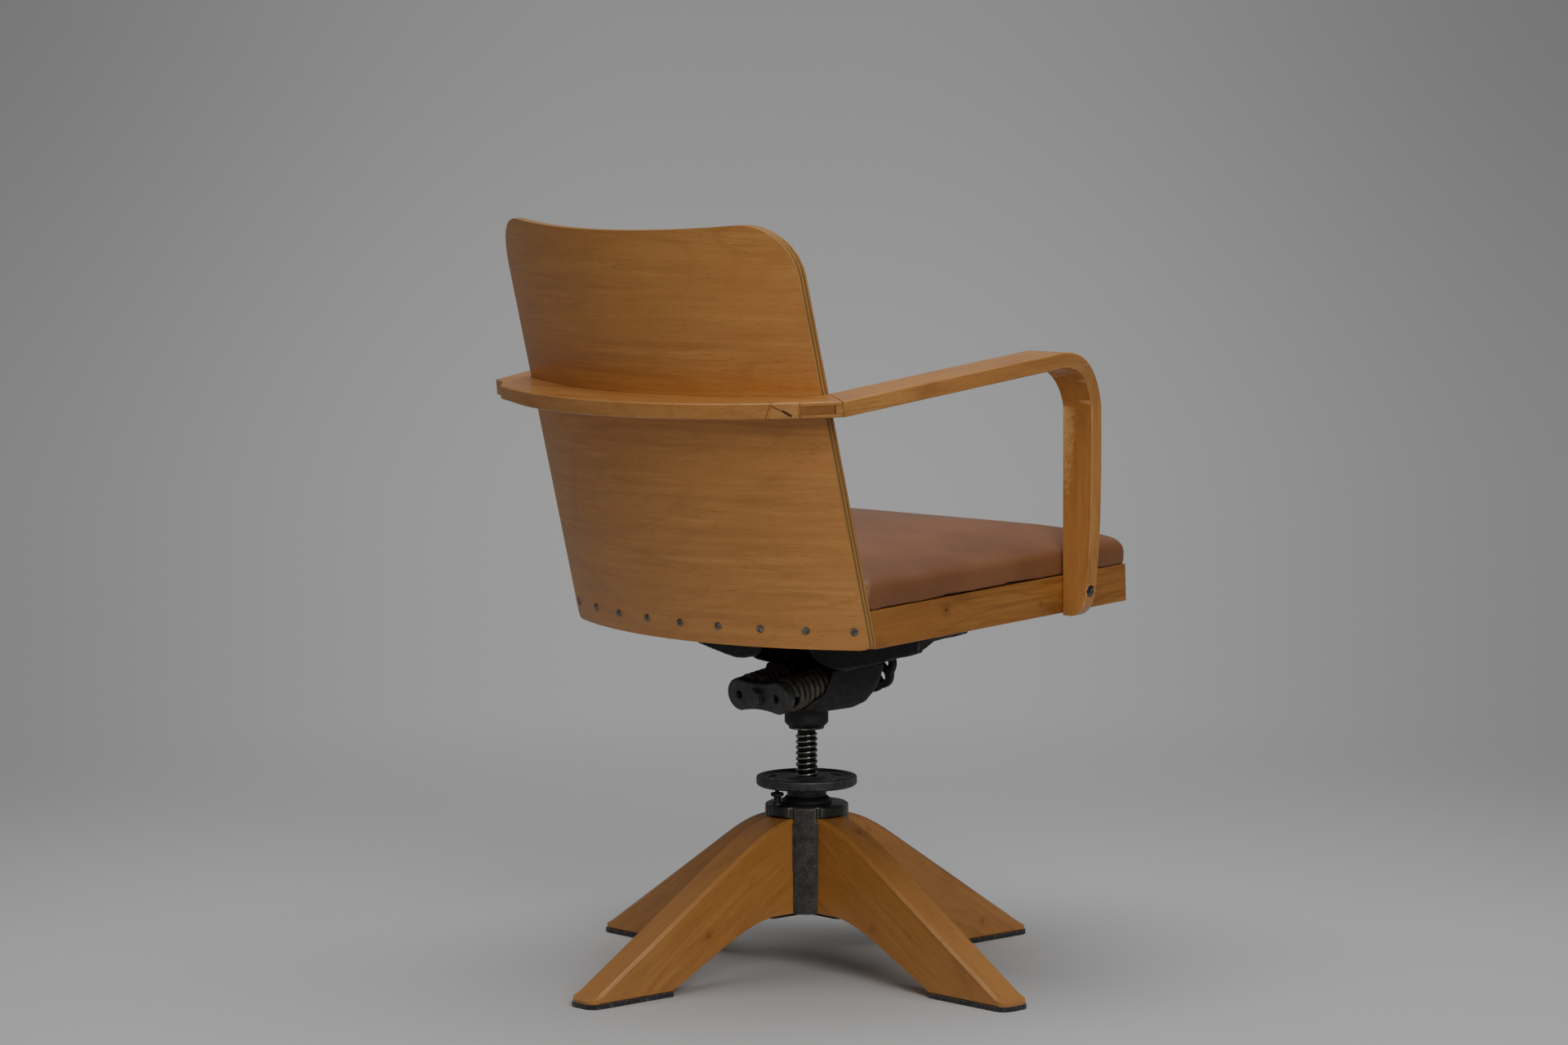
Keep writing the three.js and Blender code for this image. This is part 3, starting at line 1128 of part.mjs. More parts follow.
addMesh(seat, 'seat_spider', makeSpider(), castIron());
addMesh(seat, 'seat_bearer', makeBearer(), hiddenWood());
for (const [end, middle] of [['front', spider.screwFront], ['rear', spider.screwRear]]) {
  for (const [hand, side] of [['right', -1], ['left', 1]]) {
    const piece = addMesh(seat, `spider_screw_${end}_${hand}`, makeSpiderScrew(), steel());
    piece.position.set(side * spider.screwAt, middle, 0);
  }
}
addMesh(seat, 'front_rail', frontRail(), lacqueredWood());
addMesh(seat, 'rear_rail', rearRail(), hiddenWood());
addMesh(seat, 'seat_board', makeBoard(), hiddenWood());
addMesh(seat, 'seat_cushion', makeCushion(), leather());
addMesh(seat, 'back_panel', makePanel(), ply());
screwPlaces().forEach((place, i) => {
  addMesh(seat, `panel_screw_${i + 1}`, screwAtPlace(makeScrew(), place), agedSteel());
});
addMesh(armPlane, 'back_bow', makeBow(), lacqueredWood());
for (const [hand, side] of [['right', -1], ['left', 1]]) {
  addMesh(seat, `side_rail_${hand}`, sideRail(side), lacqueredWood());
  addMesh(armPlane, `arm_${hand}`, armPiece(side), lacqueredWood());
  addMesh(seat, `arm_post_${hand}`, postPiece(side), lacqueredWood());
  const fastener = makeBolt().translate(0, post.boltY, post.boltZ);
  addMesh(seat, `post_bolt_${hand}`, side < 0 ? mirrored(fastener) : fastener, steel());
}

export default chair;
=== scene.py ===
# Looks for the bankers swivel chair: lacquered wood, cast iron, springs, spindle and leather
import math

import bmesh
import bpy
from mathutils import Matrix, Vector


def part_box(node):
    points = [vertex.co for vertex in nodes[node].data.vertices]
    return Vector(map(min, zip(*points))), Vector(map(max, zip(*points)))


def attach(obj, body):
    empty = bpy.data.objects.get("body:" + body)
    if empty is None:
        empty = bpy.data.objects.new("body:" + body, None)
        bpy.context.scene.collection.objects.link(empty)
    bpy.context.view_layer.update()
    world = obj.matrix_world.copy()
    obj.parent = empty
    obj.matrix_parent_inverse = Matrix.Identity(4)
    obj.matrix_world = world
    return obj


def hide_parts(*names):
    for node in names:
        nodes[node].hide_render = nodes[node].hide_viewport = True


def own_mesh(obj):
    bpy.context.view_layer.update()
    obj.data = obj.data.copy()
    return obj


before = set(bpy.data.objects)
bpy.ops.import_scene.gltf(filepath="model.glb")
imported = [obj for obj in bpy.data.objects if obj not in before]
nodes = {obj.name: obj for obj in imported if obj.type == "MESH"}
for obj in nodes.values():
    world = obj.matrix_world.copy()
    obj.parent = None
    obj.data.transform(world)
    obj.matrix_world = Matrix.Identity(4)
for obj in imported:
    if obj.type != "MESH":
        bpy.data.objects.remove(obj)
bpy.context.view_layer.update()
print("frame loaded,", len(nodes), "nodes")

# Where the frame's parts are, in metres and degrees
chair = {
    "pivot": Vector((0, -0.038, 0.365)), "restTilt": 2.45, "baseYaw": -3.5, "rodSlope": 7.5,
    "rodOffset": 0.0251, "yokeRear": 0.1234, "legSlope": 32.15, "backRake": 12.1, "backHalf": 0.23,
    "backRise": 0.0573,
}
backRadius = (chair["backHalf"] ** 2 + chair["backRise"] ** 2) / (2 * chair["backRise"])


def turned(degrees, axis):
    return Matrix.Rotation(math.radians(degrees), 4, axis)


# The seat's own axes, level with its rails, in the shared frame
seatFrame = Matrix.Translation(chair["pivot"]) @ turned(-chair["restTilt"], "X")
intoSeat = seatFrame.inverted()


def eased(value):
    value = min(1, max(0, value))
    return value * value * (3 - 2 * value)


# Shader maths: a wrapped socket, and one method for every node
class Socket:
    def __init__(self, maker, output):
        self.maker, self.output = maker, output

    def math(self, operation, other=0.0, flip=False):
        pair = (other, self) if flip else (self, other)
        return self.maker.node("ShaderNodeMath", {"operation": operation}, {0: pair[0], 1: pair[1]})

    def __add__(self, other):
        return self.math("ADD", other)

    def __sub__(self, other):
        return self.math("SUBTRACT", other)

    def __rsub__(self, other):
        return self.math("SUBTRACT", other, flip=True)

    def __mul__(self, other):
        return self.math("MULTIPLY", other)

    __radd__ = __add__
    __rmul__ = __mul__


class Graph:
    def __init__(self, tree, ending):
        self.tree = tree
        tree.nodes.clear()
        self.ending = tree.nodes.new(ending)

    def node(self, kind, settings=None, sockets=None, out=0):
        made = self.tree.nodes.new(kind)
        for key, value in (settings or {}).items():
            setattr(made, key, value)
        for key, value in (sockets or {}).items():
            self.plug(made.inputs[key], value)
        return Socket(self, made.outputs[out])

    def plug(self, entry, value):
        if isinstance(value, Socket):
            self.tree.links.new(value.output, entry)
        else:
            entry.default_value = value

    def show(self, shader):
        self.plug(self.ending.inputs["Surface"], shader)

    def attribute(self, name, out=1):
        return self.node("ShaderNodeAttribute", {"attribute_name": name}, out=out)

    def place(self):
        return self.node("ShaderNodeTexCoord", out="Object")

    def vector(self, operation, *values):
        out = 1 if operation in ("DOT_PRODUCT", "DISTANCE", "LENGTH") else 0
        return self.node("ShaderNodeVectorMath", {"operation": operation}, dict(enumerate(values)), out)

    def stretched(self, vector, *factors):
        return self.vector("MULTIPLY", vector, factors)

    def grainNoise(self, vector, factors, detail=3.0, roughness=0.55, distortion=0.0):
        return self.node("ShaderNodeTexNoise", {}, {
            "Vector": self.stretched(vector, *factors), "Scale": 1.0, "Detail": detail,
            "Roughness": roughness, "Distortion": distortion})

    def span(self, value, low, high, toLow=0.0, toHigh=1.0):
        return self.node("ShaderNodeMapRange", {"clamp": True, "interpolation_type": "SMOOTHSTEP"},
                         {0: value, 1: low, 2: high, 3: toLow, 4: toHigh})

    def tint(self, factor, first, second):
        return self.node("ShaderNodeMix", {"data_type": "RGBA", "clamp_factor": True},
                         {0: factor, 6: first, 7: second}, out=2)

    def bump(self, height, distance, strength=1.0, under=None):
        sockets = {"Height": height, "Distance": distance, "Strength": strength}
        if under is not None:
            sockets["Normal"] = under
        return self.node("ShaderNodeBump", {}, sockets)


class Finish(Graph):
    def __init__(self, name):
        self.material = bpy.data.materials.new(name)
        self.material.use_nodes = True
        super().__init__(self.material.node_tree, "ShaderNodeOutputMaterial")
        self.body = self.node("ShaderNodeBsdfPrincipled")
        self.show(self.body)

    def set(self, **values):
        for key, value in values.items():
            self.plug(self.body.output.node.inputs[key.replace("_", " ")], value)


def rgb(red, green, blue):
    return (red, green, blue, 1.0)


# Wood: fibres, pores, figure and knots along each piece's own grain coordinates
def wood(name, look):
    made = Finish(name)
    grain = made.attribute("grain")
    edge = made.attribute("edge", out=2)
    sway = made.grainNoise(grain, (3.5, 20.0, 20.0), 2.0)
    aside = made.node("ShaderNodeCombineXYZ", {}, {1: (sway - 0.5) * look["sway"]})
    bent = made.vector("ADD", grain, aside)
    fibre = made.grainNoise(bent, (14.0, 640.0, 420.0), 5.0, 0.62)
    streak = made.grainNoise(bent, (5.0, 110.0, 80.0), 4.0, 0.6)
    cloud = made.grainNoise(grain, (4.0, 15.0, 15.0), 3.0)
    shade = made.grainNoise(grain, (9.0, 34.0, 34.0), 3.0, 0.6)
    hill = made.grainNoise(bent, look["hill"], 2.0, 0.4, 0.3)
    ringed = (hill * look["rings"]).math("PINGPONG", 1.0)
    dashes = made.span(made.grainNoise(bent, (42.0, 620.0, 480.0), 2.0, 0.5), 0.56, 0.74)
    pores = made.span(made.grainNoise(bent, (95.0, 1500.0, 900.0), 1.0), 0.60, 0.72)
    patches = made.span(made.grainNoise(grain, (7.0, 36.0, 36.0), 2.0), 0.36, 0.66, 0.25, 1.0)
    tone = made.tint(made.span(streak * 0.6 + fibre * 0.4, 0.34, 0.66), look["dark"], look["pale"])
    tone = made.tint(made.span(ringed, 0.62, 1.0, 0.0, look["figure"]), tone, look["deep"])
    tone = made.tint(made.span(cloud, 0.34, 0.66, 0.0, 0.65), tone, look["warm"])
    tone = made.tint(made.span(shade, 0.52, 0.74, 0.0, look["mottle"]), tone, look["deep"])
    tone = made.tint(dashes * patches * look["dashes"], tone, look["deep"])
    tone = made.tint(pores * patches * look["pores"], tone, look["pore"])
    spot = made.place()
    for x, y, z, size, heart in look.get("knots", []):
        away = made.vector("DISTANCE", spot, (x, y, z))
        wobble = made.grainNoise(spot, (260.0, 260.0, 260.0), 2.0)
        ring = away + (wobble - 0.5) * size * 1.4
        tone = made.tint(made.span(ring, size * 0.6, size * 5.0, 0.5, 0.0), tone, look["deep"])
        tone = made.tint(made.span(ring, size * 0.25, size * 0.9, heart, 0.0), tone, look["pore"])
    dent = None
    for mark in look.get("marks", []):
        inside = markMask(made, spot, mark)
        tone = made.tint(inside * mark["strength"], tone, look[mark["tone"]])
        if mark.get("open"):
            dent = inside
    # Edges paled to the rim tone: partly wear through the lacquer, partly a painted highlight along the
    # rounded arrises
    chips = made.grainNoise(spot, (180.0, 180.0, 180.0), 3.0)
    tone = made.tint(made.span(edge * 0.75 + chips * 0.5, 0.62, 0.95, 0.0, look["wear"]), tone, look["rim"])
    rough = made.span(streak * 0.6 + cloud * 0.4, 0.3, 0.7, look["gloss"], look["gloss"] + 0.13)
    made.set(Base_Color=tone, Roughness=rough, Coat_Weight=look["coat"], Coat_Roughness=0.22,
             Specular_IOR_Level=look["shine"])
    relief = fibre * 0.6 - pores if dent is None else fibre * 0.6 - pores - dent * 14.0
    made.set(Normal=made.bump(relief, 0.00012, 0.5, made.bump(cloud, 0.0018, 0.3)))
    return made


# One mark on a face: a leaning strip about a point, long one way and narrow the other, and only skin deep
def markMask(made, spot, mark):
    look = {"soft": 0.0004, "skin": 0.006, "skinSoft": 0.002}

    def along(axis):
        return made.vector("DOT_PRODUCT", spot, axis) - Vector(mark["at"]).dot(axis)

    def within(value, half, soft):
        return made.span(value.math("ABSOLUTE"), half, half + soft, 1.0, 0.0)

    way, rise = mark["way"].normalized(), mark["rise"].normalized()
    height = along(rise)
    aside = along(way) - height * mark["lean"]
    mask = within(aside, mark["half"][0], look["soft"]) * within(height, mark["half"][1], look["soft"])
    return mask * within(along(way.cross(rise)), look["skin"], look["skinSoft"])


# Ply edge: thin layers across the panel's thickness, under the same lacquer
def plyEdge(look):
    made = Finish("ply edge")
    grain = made.attribute("grain")
    depth = made.node("ShaderNodeSeparateXYZ", {}, {0: grain}, out=2)
    layers = depth * (look["layers"] / look["thickness"])
    layer = layers.math("FRACT")
    odd = (layers.math("FLOOR") + 20.0).math("MODULO", 2.0)
    line = made.span(layer, 0.0, 0.16, 1.0, 0.0)
    fibre = made.grainNoise(grain, (700.0, 14.0, 900.0), 3.0)
    tone = made.tint(odd, look["long"], look["short"])
    tone = made.tint(made.span(fibre, 0.35, 0.7, 0.0, 0.5), tone, look["dark"])
    tone = made.tint(line * 0.8, tone, look["glue"])
    made.set(Base_Color=tone, Roughness=made.span(fibre, 0.3, 0.7, 0.36, 0.5), Coat_Weight=0.2,
             Coat_Roughness=0.3, Specular_IOR_Level=0.4, Normal=made.bump(layer, 0.0003, 0.4))
    return made


# Cast iron: black enamel over a sand-cast skin, hammered where asked, rubbed on its edges
def iron(name, look):
    made = Finish(name)
    spot = made.place()
    edge = made.attribute("edge", out=2)
    coarse = made.grainNoise(spot, (110.0, 110.0, 110.0), 3.0)
    fine = made.grainNoise(spot, (650.0, 650.0, 650.0), 3.0, 0.6)
    pits = made.node("ShaderNodeTexVoronoi", {"feature": "SMOOTH_F1"}, {
        "Vector": made.stretched(spot, 420.0, 420.0, 420.0), "Scale": 1.0, "Smoothness": 0.6})
    rust = made.span(made.grainNoise(spot, (75.0, 75.0, 75.0), 4.0, 0.65), 0.5, 0.75, 0.0, look["rust"])
    tone = made.tint(made.span(coarse, 0.3, 0.7), look["dark"], look["pale"])
    tone = made.tint(rust, tone, look["brown"])
    rubbed = made.span(edge * 0.7 + fine * 0.4 + coarse * 0.25, 0.72, 1.05, 0.0, look["wear"])
    tone = made.tint(rubbed, tone, look["bare"])
    # Painted shade: where asked, the casting is darkened towards each leg, standing in for the shade between
    # the legs and round the column
    if look.get("corners"):
        ways = (turned(chair["baseYaw"], "Z") @ Vector(way) for way in ((1, 0, 0), (0, 1, 0)))
        along, aside = (made.vector("DOT_PRODUCT", spot, way) for way in ways)
        between = (along * aside).math("ABSOLUTE").math("DIVIDE", along * along + aside * aside)
        tone = made.tint(made.span(between, 0.16, 0.47, look["corners"], 0.0), tone, look["paintedShade"])
    skin = made.bump(fine, 0.0002, 0.5, made.bump(coarse, 0.0008, 0.3))
    made.set(Base_Color=tone, Metallic=made.span(rubbed, 0.0, 1.0, 0.15, 0.8), Specular_IOR_Level=0.45,
             Roughness=made.span(fine, 0.3, 0.7, look["gloss"], look["gloss"] + 0.2),
             Normal=made.bump(pits, 0.0006, look["hammer"], skin))
    return made


# Bare steel: hazy, and darker towards a near-black tone in a thread's grooves
def steel(name, look):
    made = Finish(name)
    spot = made.place()
    haze = made.grainNoise(spot, (160.0, 160.0, 160.0), 4.0, 0.6)
    fine = made.grainNoise(spot, (900.0, 900.0, 900.0), 2.0)
    tone = made.tint(made.span(haze, 0.35, 0.65), look["dark"], look["pale"])
    if look.get("groove"):
        out = made.vector("LENGTH", made.stretched(spot, 1.0, 1.0, 0.0))
        tone = made.tint(made.span(out, *look["groove"], 0.95, 0.0), tone, look["grooveTone"])
    rough = made.span(fine * 0.5 + haze * 0.5, 0.3, 0.7, look["gloss"], look["gloss"] + 0.18)
    made.set(Base_Color=tone, Metallic=0.9, Roughness=rough,
             Normal=made.bump(fine, look.get("dents", 0.00008), 0.5))
    return made


# Leather: small cells, soft clouds and a few shallow creases
def hide(name, look):
    made = Finish(name)
    spot = made.place()
    cells = made.node("ShaderNodeTexVoronoi", {"feature": "DISTANCE_TO_EDGE"}, {
        "Vector": made.stretched(spot, 1300.0, 1300.0, 1300.0), "Scale": 1.0}, out="Distance")
    cloud = made.grainNoise(spot, (14.0, 14.0, 14.0), 4.0, 0.55)
    fine = made.grainNoise(spot, (420.0, 420.0, 420.0), 3.0)
    crease = made.grainNoise(spot, (45.0, 45.0, 45.0), 4.0, 0.6, 0.6)
    tone = made.tint(made.span(cloud, 0.3, 0.7), look["dark"], look["pale"])
    tone = made.tint(made.span(cells, 0.0, 0.08, 0.35, 0.0), tone, look["dark"])
    tone = made.tint(made.span(crease, 0.6, 0.8, 0.0, 0.16), tone, look["worn"])
    rough = made.span(fine * 0.4 + cloud * 0.6, 0.3, 0.7, look["gloss"], look["gloss"] + 0.08)
    made.set(Base_Color=tone, Roughness=rough, Sheen_Weight=0.07, Specular_IOR_Level=0.55,
             Normal=made.bump(cells, 0.00008, 0.4, made.bump(crease, 0.0005, 0.06)))
    return made


def felt(name, look):
    made = Finish(name)
    spot = made.place()
    fuzz = made.grainNoise(spot, (900.0, 900.0, 900.0), 4.0, 0.7)
    dust = made.span(made.grainNoise(spot, (240.0, 240.0, 240.0), 4.0, 0.7), 0.48, 0.72)
    tone = made.tint(dust, look["dark"], look["dusty"])
    made.set(Base_Color=tone, Roughness=0.95, Sheen_Weight=0.2, Normal=made.bump(fuzz, 0.0005, 0.8))
    return made


# The rim tone pales worn edges, and also stands in as a painted highlight on them
frameTones = {
    "pale": rgb(0.590, 0.285, 0.085), "dark": rgb(0.420, 0.178, 0.046), "deep": rgb(0.270, 0.100, 0.024),
    "warm": rgb(0.520, 0.225, 0.056), "pore": rgb(0.080, 0.028, 0.008), "rim": rgb(0.800, 0.490, 0.210),
    "light": rgb(0.640, 0.340, 0.120), "sway": 0.012, "hill": (2.2, 16.0, 16.0), "rings": 26.0,
    "figure": 0.22, "mottle": 0.45, "dashes": 0.35, "pores": 0.35, "wear": 0.75, "gloss": 0.30, "coat": 0.22,
    "shine": 0.38,
}
panelTones = {
    **frameTones, "pale": rgb(0.660, 0.308, 0.086), "dark": rgb(0.490, 0.204, 0.050),
    "deep": rgb(0.370, 0.145, 0.032), "warm": rgb(0.580, 0.248, 0.062), "sway": 0.018,
    "hill": (2.0, 6.5, 6.5), "rings": 30.0, "mottle": 0.20, "dashes": 0.60, "pores": 0.45, "gloss": 0.32,
}
# The bow's right end: slanted joint, pale block with a slit, and the arm's tongue in its mortise
joint = {"at": Vector((-0.2138, 0.2764, 0.6768)), "way": Vector((-0.8747, -0.4836, 0.0)),
         "rise": Vector((0, 0, 1))}


def jointMark(aside, high, half, tone, strength, lean=0.0, slant=0.0, **more):
    turn = turned(slant, joint["way"].cross(joint["rise"])).to_3x3()
    at = joint["at"] + joint["way"] * aside + joint["rise"] * high
    return {"at": at, "way": turn @ joint["way"], "rise": turn @ joint["rise"], "half": half, "tone": tone,
            "strength": strength, "lean": lean, **more}


bowMarks = [jointMark(0.0, 0.0, (0.0003, 0.03), "pore", 0.75, lean=0.384),
            jointMark(0.0175, -0.006, (0.0155, 0.03), "light", 0.35, lean=0.15),
            jointMark(0.0130, -0.0057, (0.0125, 0.0004), "pore", 0.9, slant=-25.0, open=True),
            jointMark(0.0190, -0.0083, (0.0055, 0.0013), "pore", 0.95, slant=-29.0, open=True),
            jointMark(0.0335, 0.0, (0.0003, 0.03), "pore", 0.85)]
armMarks = [jointMark(0.0525, -0.005, (0.0190, 0.02), "deep", 0.75),
            jointMark(0.0725, -0.004, (0.0007, 0.006), "pore", 0.9)]
finishes = {
    "frame": wood("lacquered birch", {
        **frameTones, "marks": armMarks, "knots": [(-0.2900, 0.1350, 0.6740, 0.0016, 0.7)],
    }),
    "rails": wood("lacquered birch, rails", {
        **frameTones, "pale": rgb(0.430, 0.186, 0.043), "dark": rgb(0.280, 0.106, 0.021),
        "deep": rgb(0.180, 0.062, 0.012), "warm": rgb(0.370, 0.146, 0.030), "mottle": 0.6, "figure": 0.34,
        "wear": 0.30,
        "knots": [
            (-0.2300, 0.0144, 0.4356, 0.0026, 0.9), (-0.2300, -0.1458, 0.4288, 0.0013, 0.5),
            (0.2300, -0.060, 0.4400, 0.0018, 0.6),
        ],
    }),
    "legs": wood("lacquered birch, legs", {
        **frameTones, "wear": 0.45, "warm": rgb(0.425, 0.178, 0.038), "pale": rgb(0.510, 0.235, 0.060),
        "knots": [
            (-0.0101, 0.1706, 0.0618, 0.0021, 0.95), (-0.0813, -0.0022, 0.1678, 0.0030, 0.5),
            (-0.1295, 0.0285, 0.0658, 0.0016, 0.2), (-0.1907, 0.0322, 0.0651, 0.0008, 0.8),
            (-0.2411, 0.0338, 0.0670, 0.0009, 0.9), (-0.0366, -0.2619, 0.0248, 0.0016, 0.4),
            (0.1500, 0.0180, 0.0900, 0.0018, 0.7), (0.0180, -0.1300, 0.0950, 0.0015, 0.6),
        ],
    }),
    "bow": wood("lacquered birch, bow", {**frameTones, "marks": bowMarks}),
    "panel": wood("plywood face", panelTones),
    "edge": plyEdge({
        "layers": 5, "thickness": 0.011, "long": rgb(0.520, 0.280, 0.080), "glue": rgb(0.080, 0.030, 0.009),
        "short": rgb(0.260, 0.120, 0.032), "dark": rgb(0.200, 0.090, 0.024),
    }),
    "plain": wood("plain birch", {
        **frameTones, "pale": rgb(0.600, 0.400, 0.210), "warm": rgb(0.520, 0.320, 0.150), "coat": 0.0,
        "gloss": 0.55,
    }),
    # Painted shade: the seat board is made near black, standing in for the shade in the gap under the
    # cushion's edge
    "shadeDarkBoard": wood("board darkened as painted shade", {
        **frameTones, "pale": rgb(0.022, 0.014, 0.009), "dark": rgb(0.012, 0.008, 0.005),
        "deep": rgb(0.006, 0.004, 0.003), "warm": rgb(0.018, 0.011, 0.007), "rim": rgb(0.040, 0.026, 0.016),
        "coat": 0.0, "gloss": 0.6,
    }),
    "iron": iron("black cast iron", {
        "dark": rgb(0.0100, 0.0099, 0.0100), "pale": rgb(0.0210, 0.0203, 0.0200), "rust": 0.25,
        "brown": rgb(0.040, 0.022, 0.013), "bare": rgb(0.150, 0.145, 0.135), "wear": 0.45, "gloss": 0.48,
        "hammer": 0.10,
    }),
    "wheel": iron("worn cast iron", {
        "dark": rgb(0.022, 0.022, 0.022), "pale": rgb(0.050, 0.049, 0.048), "rust": 0.25,
        "brown": rgb(0.055, 0.036, 0.022), "bare": rgb(0.260, 0.250, 0.235), "wear": 0.75, "gloss": 0.40,
        "hammer": 0.25,
    }),
    # Hammered hub: its darkening towards the legs (corners, paintedShade) is painted shade
    "hammered": iron("hammered cast iron", {
        "dark": rgb(0.022, 0.022, 0.0212), "pale": rgb(0.060, 0.057, 0.052), "rust": 0.35,
        "brown": rgb(0.070, 0.049, 0.028), "bare": rgb(0.300, 0.283, 0.254), "wear": 0.95, "gloss": 0.30,
        "hammer": 0.75, "corners": 0.85, "paintedShade": rgb(0.006, 0.006, 0.006),
    }),
    # Painted light: a paler copy of the black iron for the yoke and tension bolt, which sit in shade under
    # the seat, standing in for light that does not reach them
    "yoke": iron("cast iron paled as painted light", {
        "dark": rgb(0.0370, 0.0363, 0.0362), "pale": rgb(0.0650, 0.0635, 0.0620), "rust": 0.30,
        "brown": rgb(0.070, 0.045, 0.030), "bare": rgb(0.150, 0.145, 0.135), "wear": 0.45, "gloss": 0.42,
        "hammer": 0.10,
    }),
    # The spring's rust is its own; its tones are also made paler as painted light, standing in for light
    # that does not reach inside the seat
    "spring": iron("rusty spring steel paled as painted light", {
        "dark": rgb(0.0550, 0.0500, 0.0450), "pale": rgb(0.125, 0.106, 0.086), "rust": 0.70,
        "brown": rgb(0.110, 0.060, 0.032), "bare": rgb(0.160, 0.145, 0.125), "wear": 0.2, "gloss": 0.36,
        "hammer": 0.05,
    }),
    "spindle": steel("oiled thread steel", {
        "dark": rgb(0.120, 0.116, 0.108), "pale": rgb(0.300, 0.290, 0.270), "gloss": 0.14, "dents": 0.00002,
        "groove": (0.0114, 0.0126), "grooveTone": rgb(0.010, 0.009, 0.008),
    }),
    "steel": steel("oiled steel", {
        "dark": rgb(0.080, 0.078, 0.074), "pale": rgb(0.260, 0.250, 0.235), "gloss": 0.24,
    }),
    "screw": steel("dull screw steel", {
        "dark": rgb(0.110, 0.098, 0.084), "pale": rgb(0.300, 0.275, 0.240), "gloss": 0.36,
    }),
    "blackBolt": steel("blackened bolt steel", {
        "dark": rgb(0.045, 0.046, 0.048), "pale": rgb(0.120, 0.118, 0.112), "gloss": 0.14,
    }),
    "leather": hide("brown leather", {
        "pale": rgb(0.252, 0.102, 0.039), "dark": rgb(0.205, 0.079, 0.028),
        "worn": rgb(0.300, 0.145, 0.075), "gloss": 0.40,
    }),
    "felt": felt("worn felt", {"dark": rgb(0.018, 0.018, 0.019), "dusty": rgb(0.110, 0.108, 0.104)}),
}
print("finishes made:", len(finishes))


# Meshes: a CAD node's own form with softened edges, its grain and its worn edges as attributes; the wood
# paints these edges paler, partly as wear and partly as a painted highlight
def formOf(name):
    made = bmesh.new()
    made.from_mesh(nodes[name].data)
    bmesh.ops.remove_doubles(made, verts=made.verts, dist=2e-6)
    return made


def pieceFrom(made, name, body, finish, *stoodFor, slotName=None):
    mesh = bpy.data.meshes.new(name)
    made.to_mesh(mesh)
    made.free()
    return placed(mesh, name, body, finish, *stoodFor, slotName=slotName)


def placed(mesh, name, body, finish, *stoodFor, slotName=None):
    piece = bpy.data.objects.new(name, mesh)
    bpy.context.scene.collection.objects.link(piece)
    for material in finish if isinstance(finish, list) else [finish]:
        mesh.materials.append(material.material)
    mesh.polygons.foreach_set("use_smooth", [True] * len(mesh.polygons))
    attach(piece, body)
    if stoodFor:
        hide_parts(*stoodFor)
    return piece


def softened(name, body, finish, width, grainAt, slotName, sharp=24, slack=0.35, shape=None, spare=None,
             more=None):
    made = formOf(name)
    if shape:
        for v in made.verts:
            v.co = seatFrame @ shape(intoSeat @ v.co)
    bmesh.ops.dissolve_limit(made, angle_limit=math.radians(slack), verts=made.verts, edges=made.edges)
    edges = [e for e in made.edges if len(e.link_faces) == 2 and math.degrees(e.calc_face_angle(0)) > sharp
             and not (spare and all(spare(intoSeat @ v.co) for v in e.verts))]
    cut = bmesh.ops.bevel(made, geom=edges, offset=width, segments=2, profile=0.6, affect="EDGES",
                          clamp_overlap=True)
    fresh = {f for f in cut["faces"] if f.is_valid}
    made.verts.index_update()
    # The bevels' middle rows: worn edges, which the wood also pales as a painted highlight
    worn = {v.index for v in made.verts if v.link_faces and all(f in fresh for f in v.link_faces)}
    if more:
        more(made)
    grains = [grainAt(v.co) for v in made.verts]
    rubbed = [1.0 if v.index in worn else 0.0 for v in made.verts]
    piece = pieceFrom(made, f"dressed_{name}", body, finish, name, slotName=slotName)
    held = piece.data.attributes.new("grain", "FLOAT_VECTOR", "POINT")
    held.data.foreach_set("vector", [c for grain in grains for c in grain])
    storeEdges(piece.data, rubbed)
    steady = piece.modifiers.new("even shading", "WEIGHTED_NORMAL")
    steady.keep_sharp, steady.weight = True, 60
    return piece


def storeEdges(mesh, values):
    mesh.attributes.new("edge", "FLOAT", "POINT").data.foreach_set("value", values)


def applied(piece):
    bpy.context.view_layer.update()
    mesh = bpy.data.meshes.new_from_object(piece.evaluated_get(bpy.context.evaluated_depsgraph_get()))
    piece.modifiers.clear()
    piece.data = mesh


# Castings: the CAD form remeshed and smoothed, so that its edges are rounded as sand casting leaves them
def casting(name, body, finish, voxel, rounds, rubbing=2.2):
    piece = pieceFrom(formOf(name), f"dressed_{name}", body, finish, name, slotName="cast_iron")
    mesher = piece.modifiers.new("skin", "REMESH")
    mesher.mode, mesher.voxel_size, mesher.use_smooth_shade = "VOXEL", voxel, True
    smoother = piece.modifiers.new("soften", "SMOOTH")
    smoother.factor, smoother.iterations = 0.5, rounds
    applied(piece)
    mesh = piece.data
    mesh.polygons.foreach_set("use_smooth", [True] * len(mesh.polygons))
    form = bmesh.new()
    form.from_mesh(mesh)
    bends = [max((e.calc_face_angle_signed(0) for e in v.link_edges if len(e.link_faces) == 2), default=0)
             for v in form.verts]
    form.free()
    storeEdges(mesh, [min(1, max(0, rubbing * bend)) for bend in bends])


# Each piece is cut from its own place in the timber
def offsetGrain(seed, along, across, deep):
    return Vector((along, across, deep)) + Vector((3.1, 1.7, 2.3)) * seed


def legGrain(angle, seed):
    turn = turned(-angle, "Z")
    slope = math.radians(chair["legSlope"])

    def at(point):
        p = turn @ point
        along = p.x * math.cos(slope) - p.z * math.sin(slope)
        return offsetGrain(seed, along, p.x * math.sin(slope) + p.z * math.cos(slope), p.y)
    return at


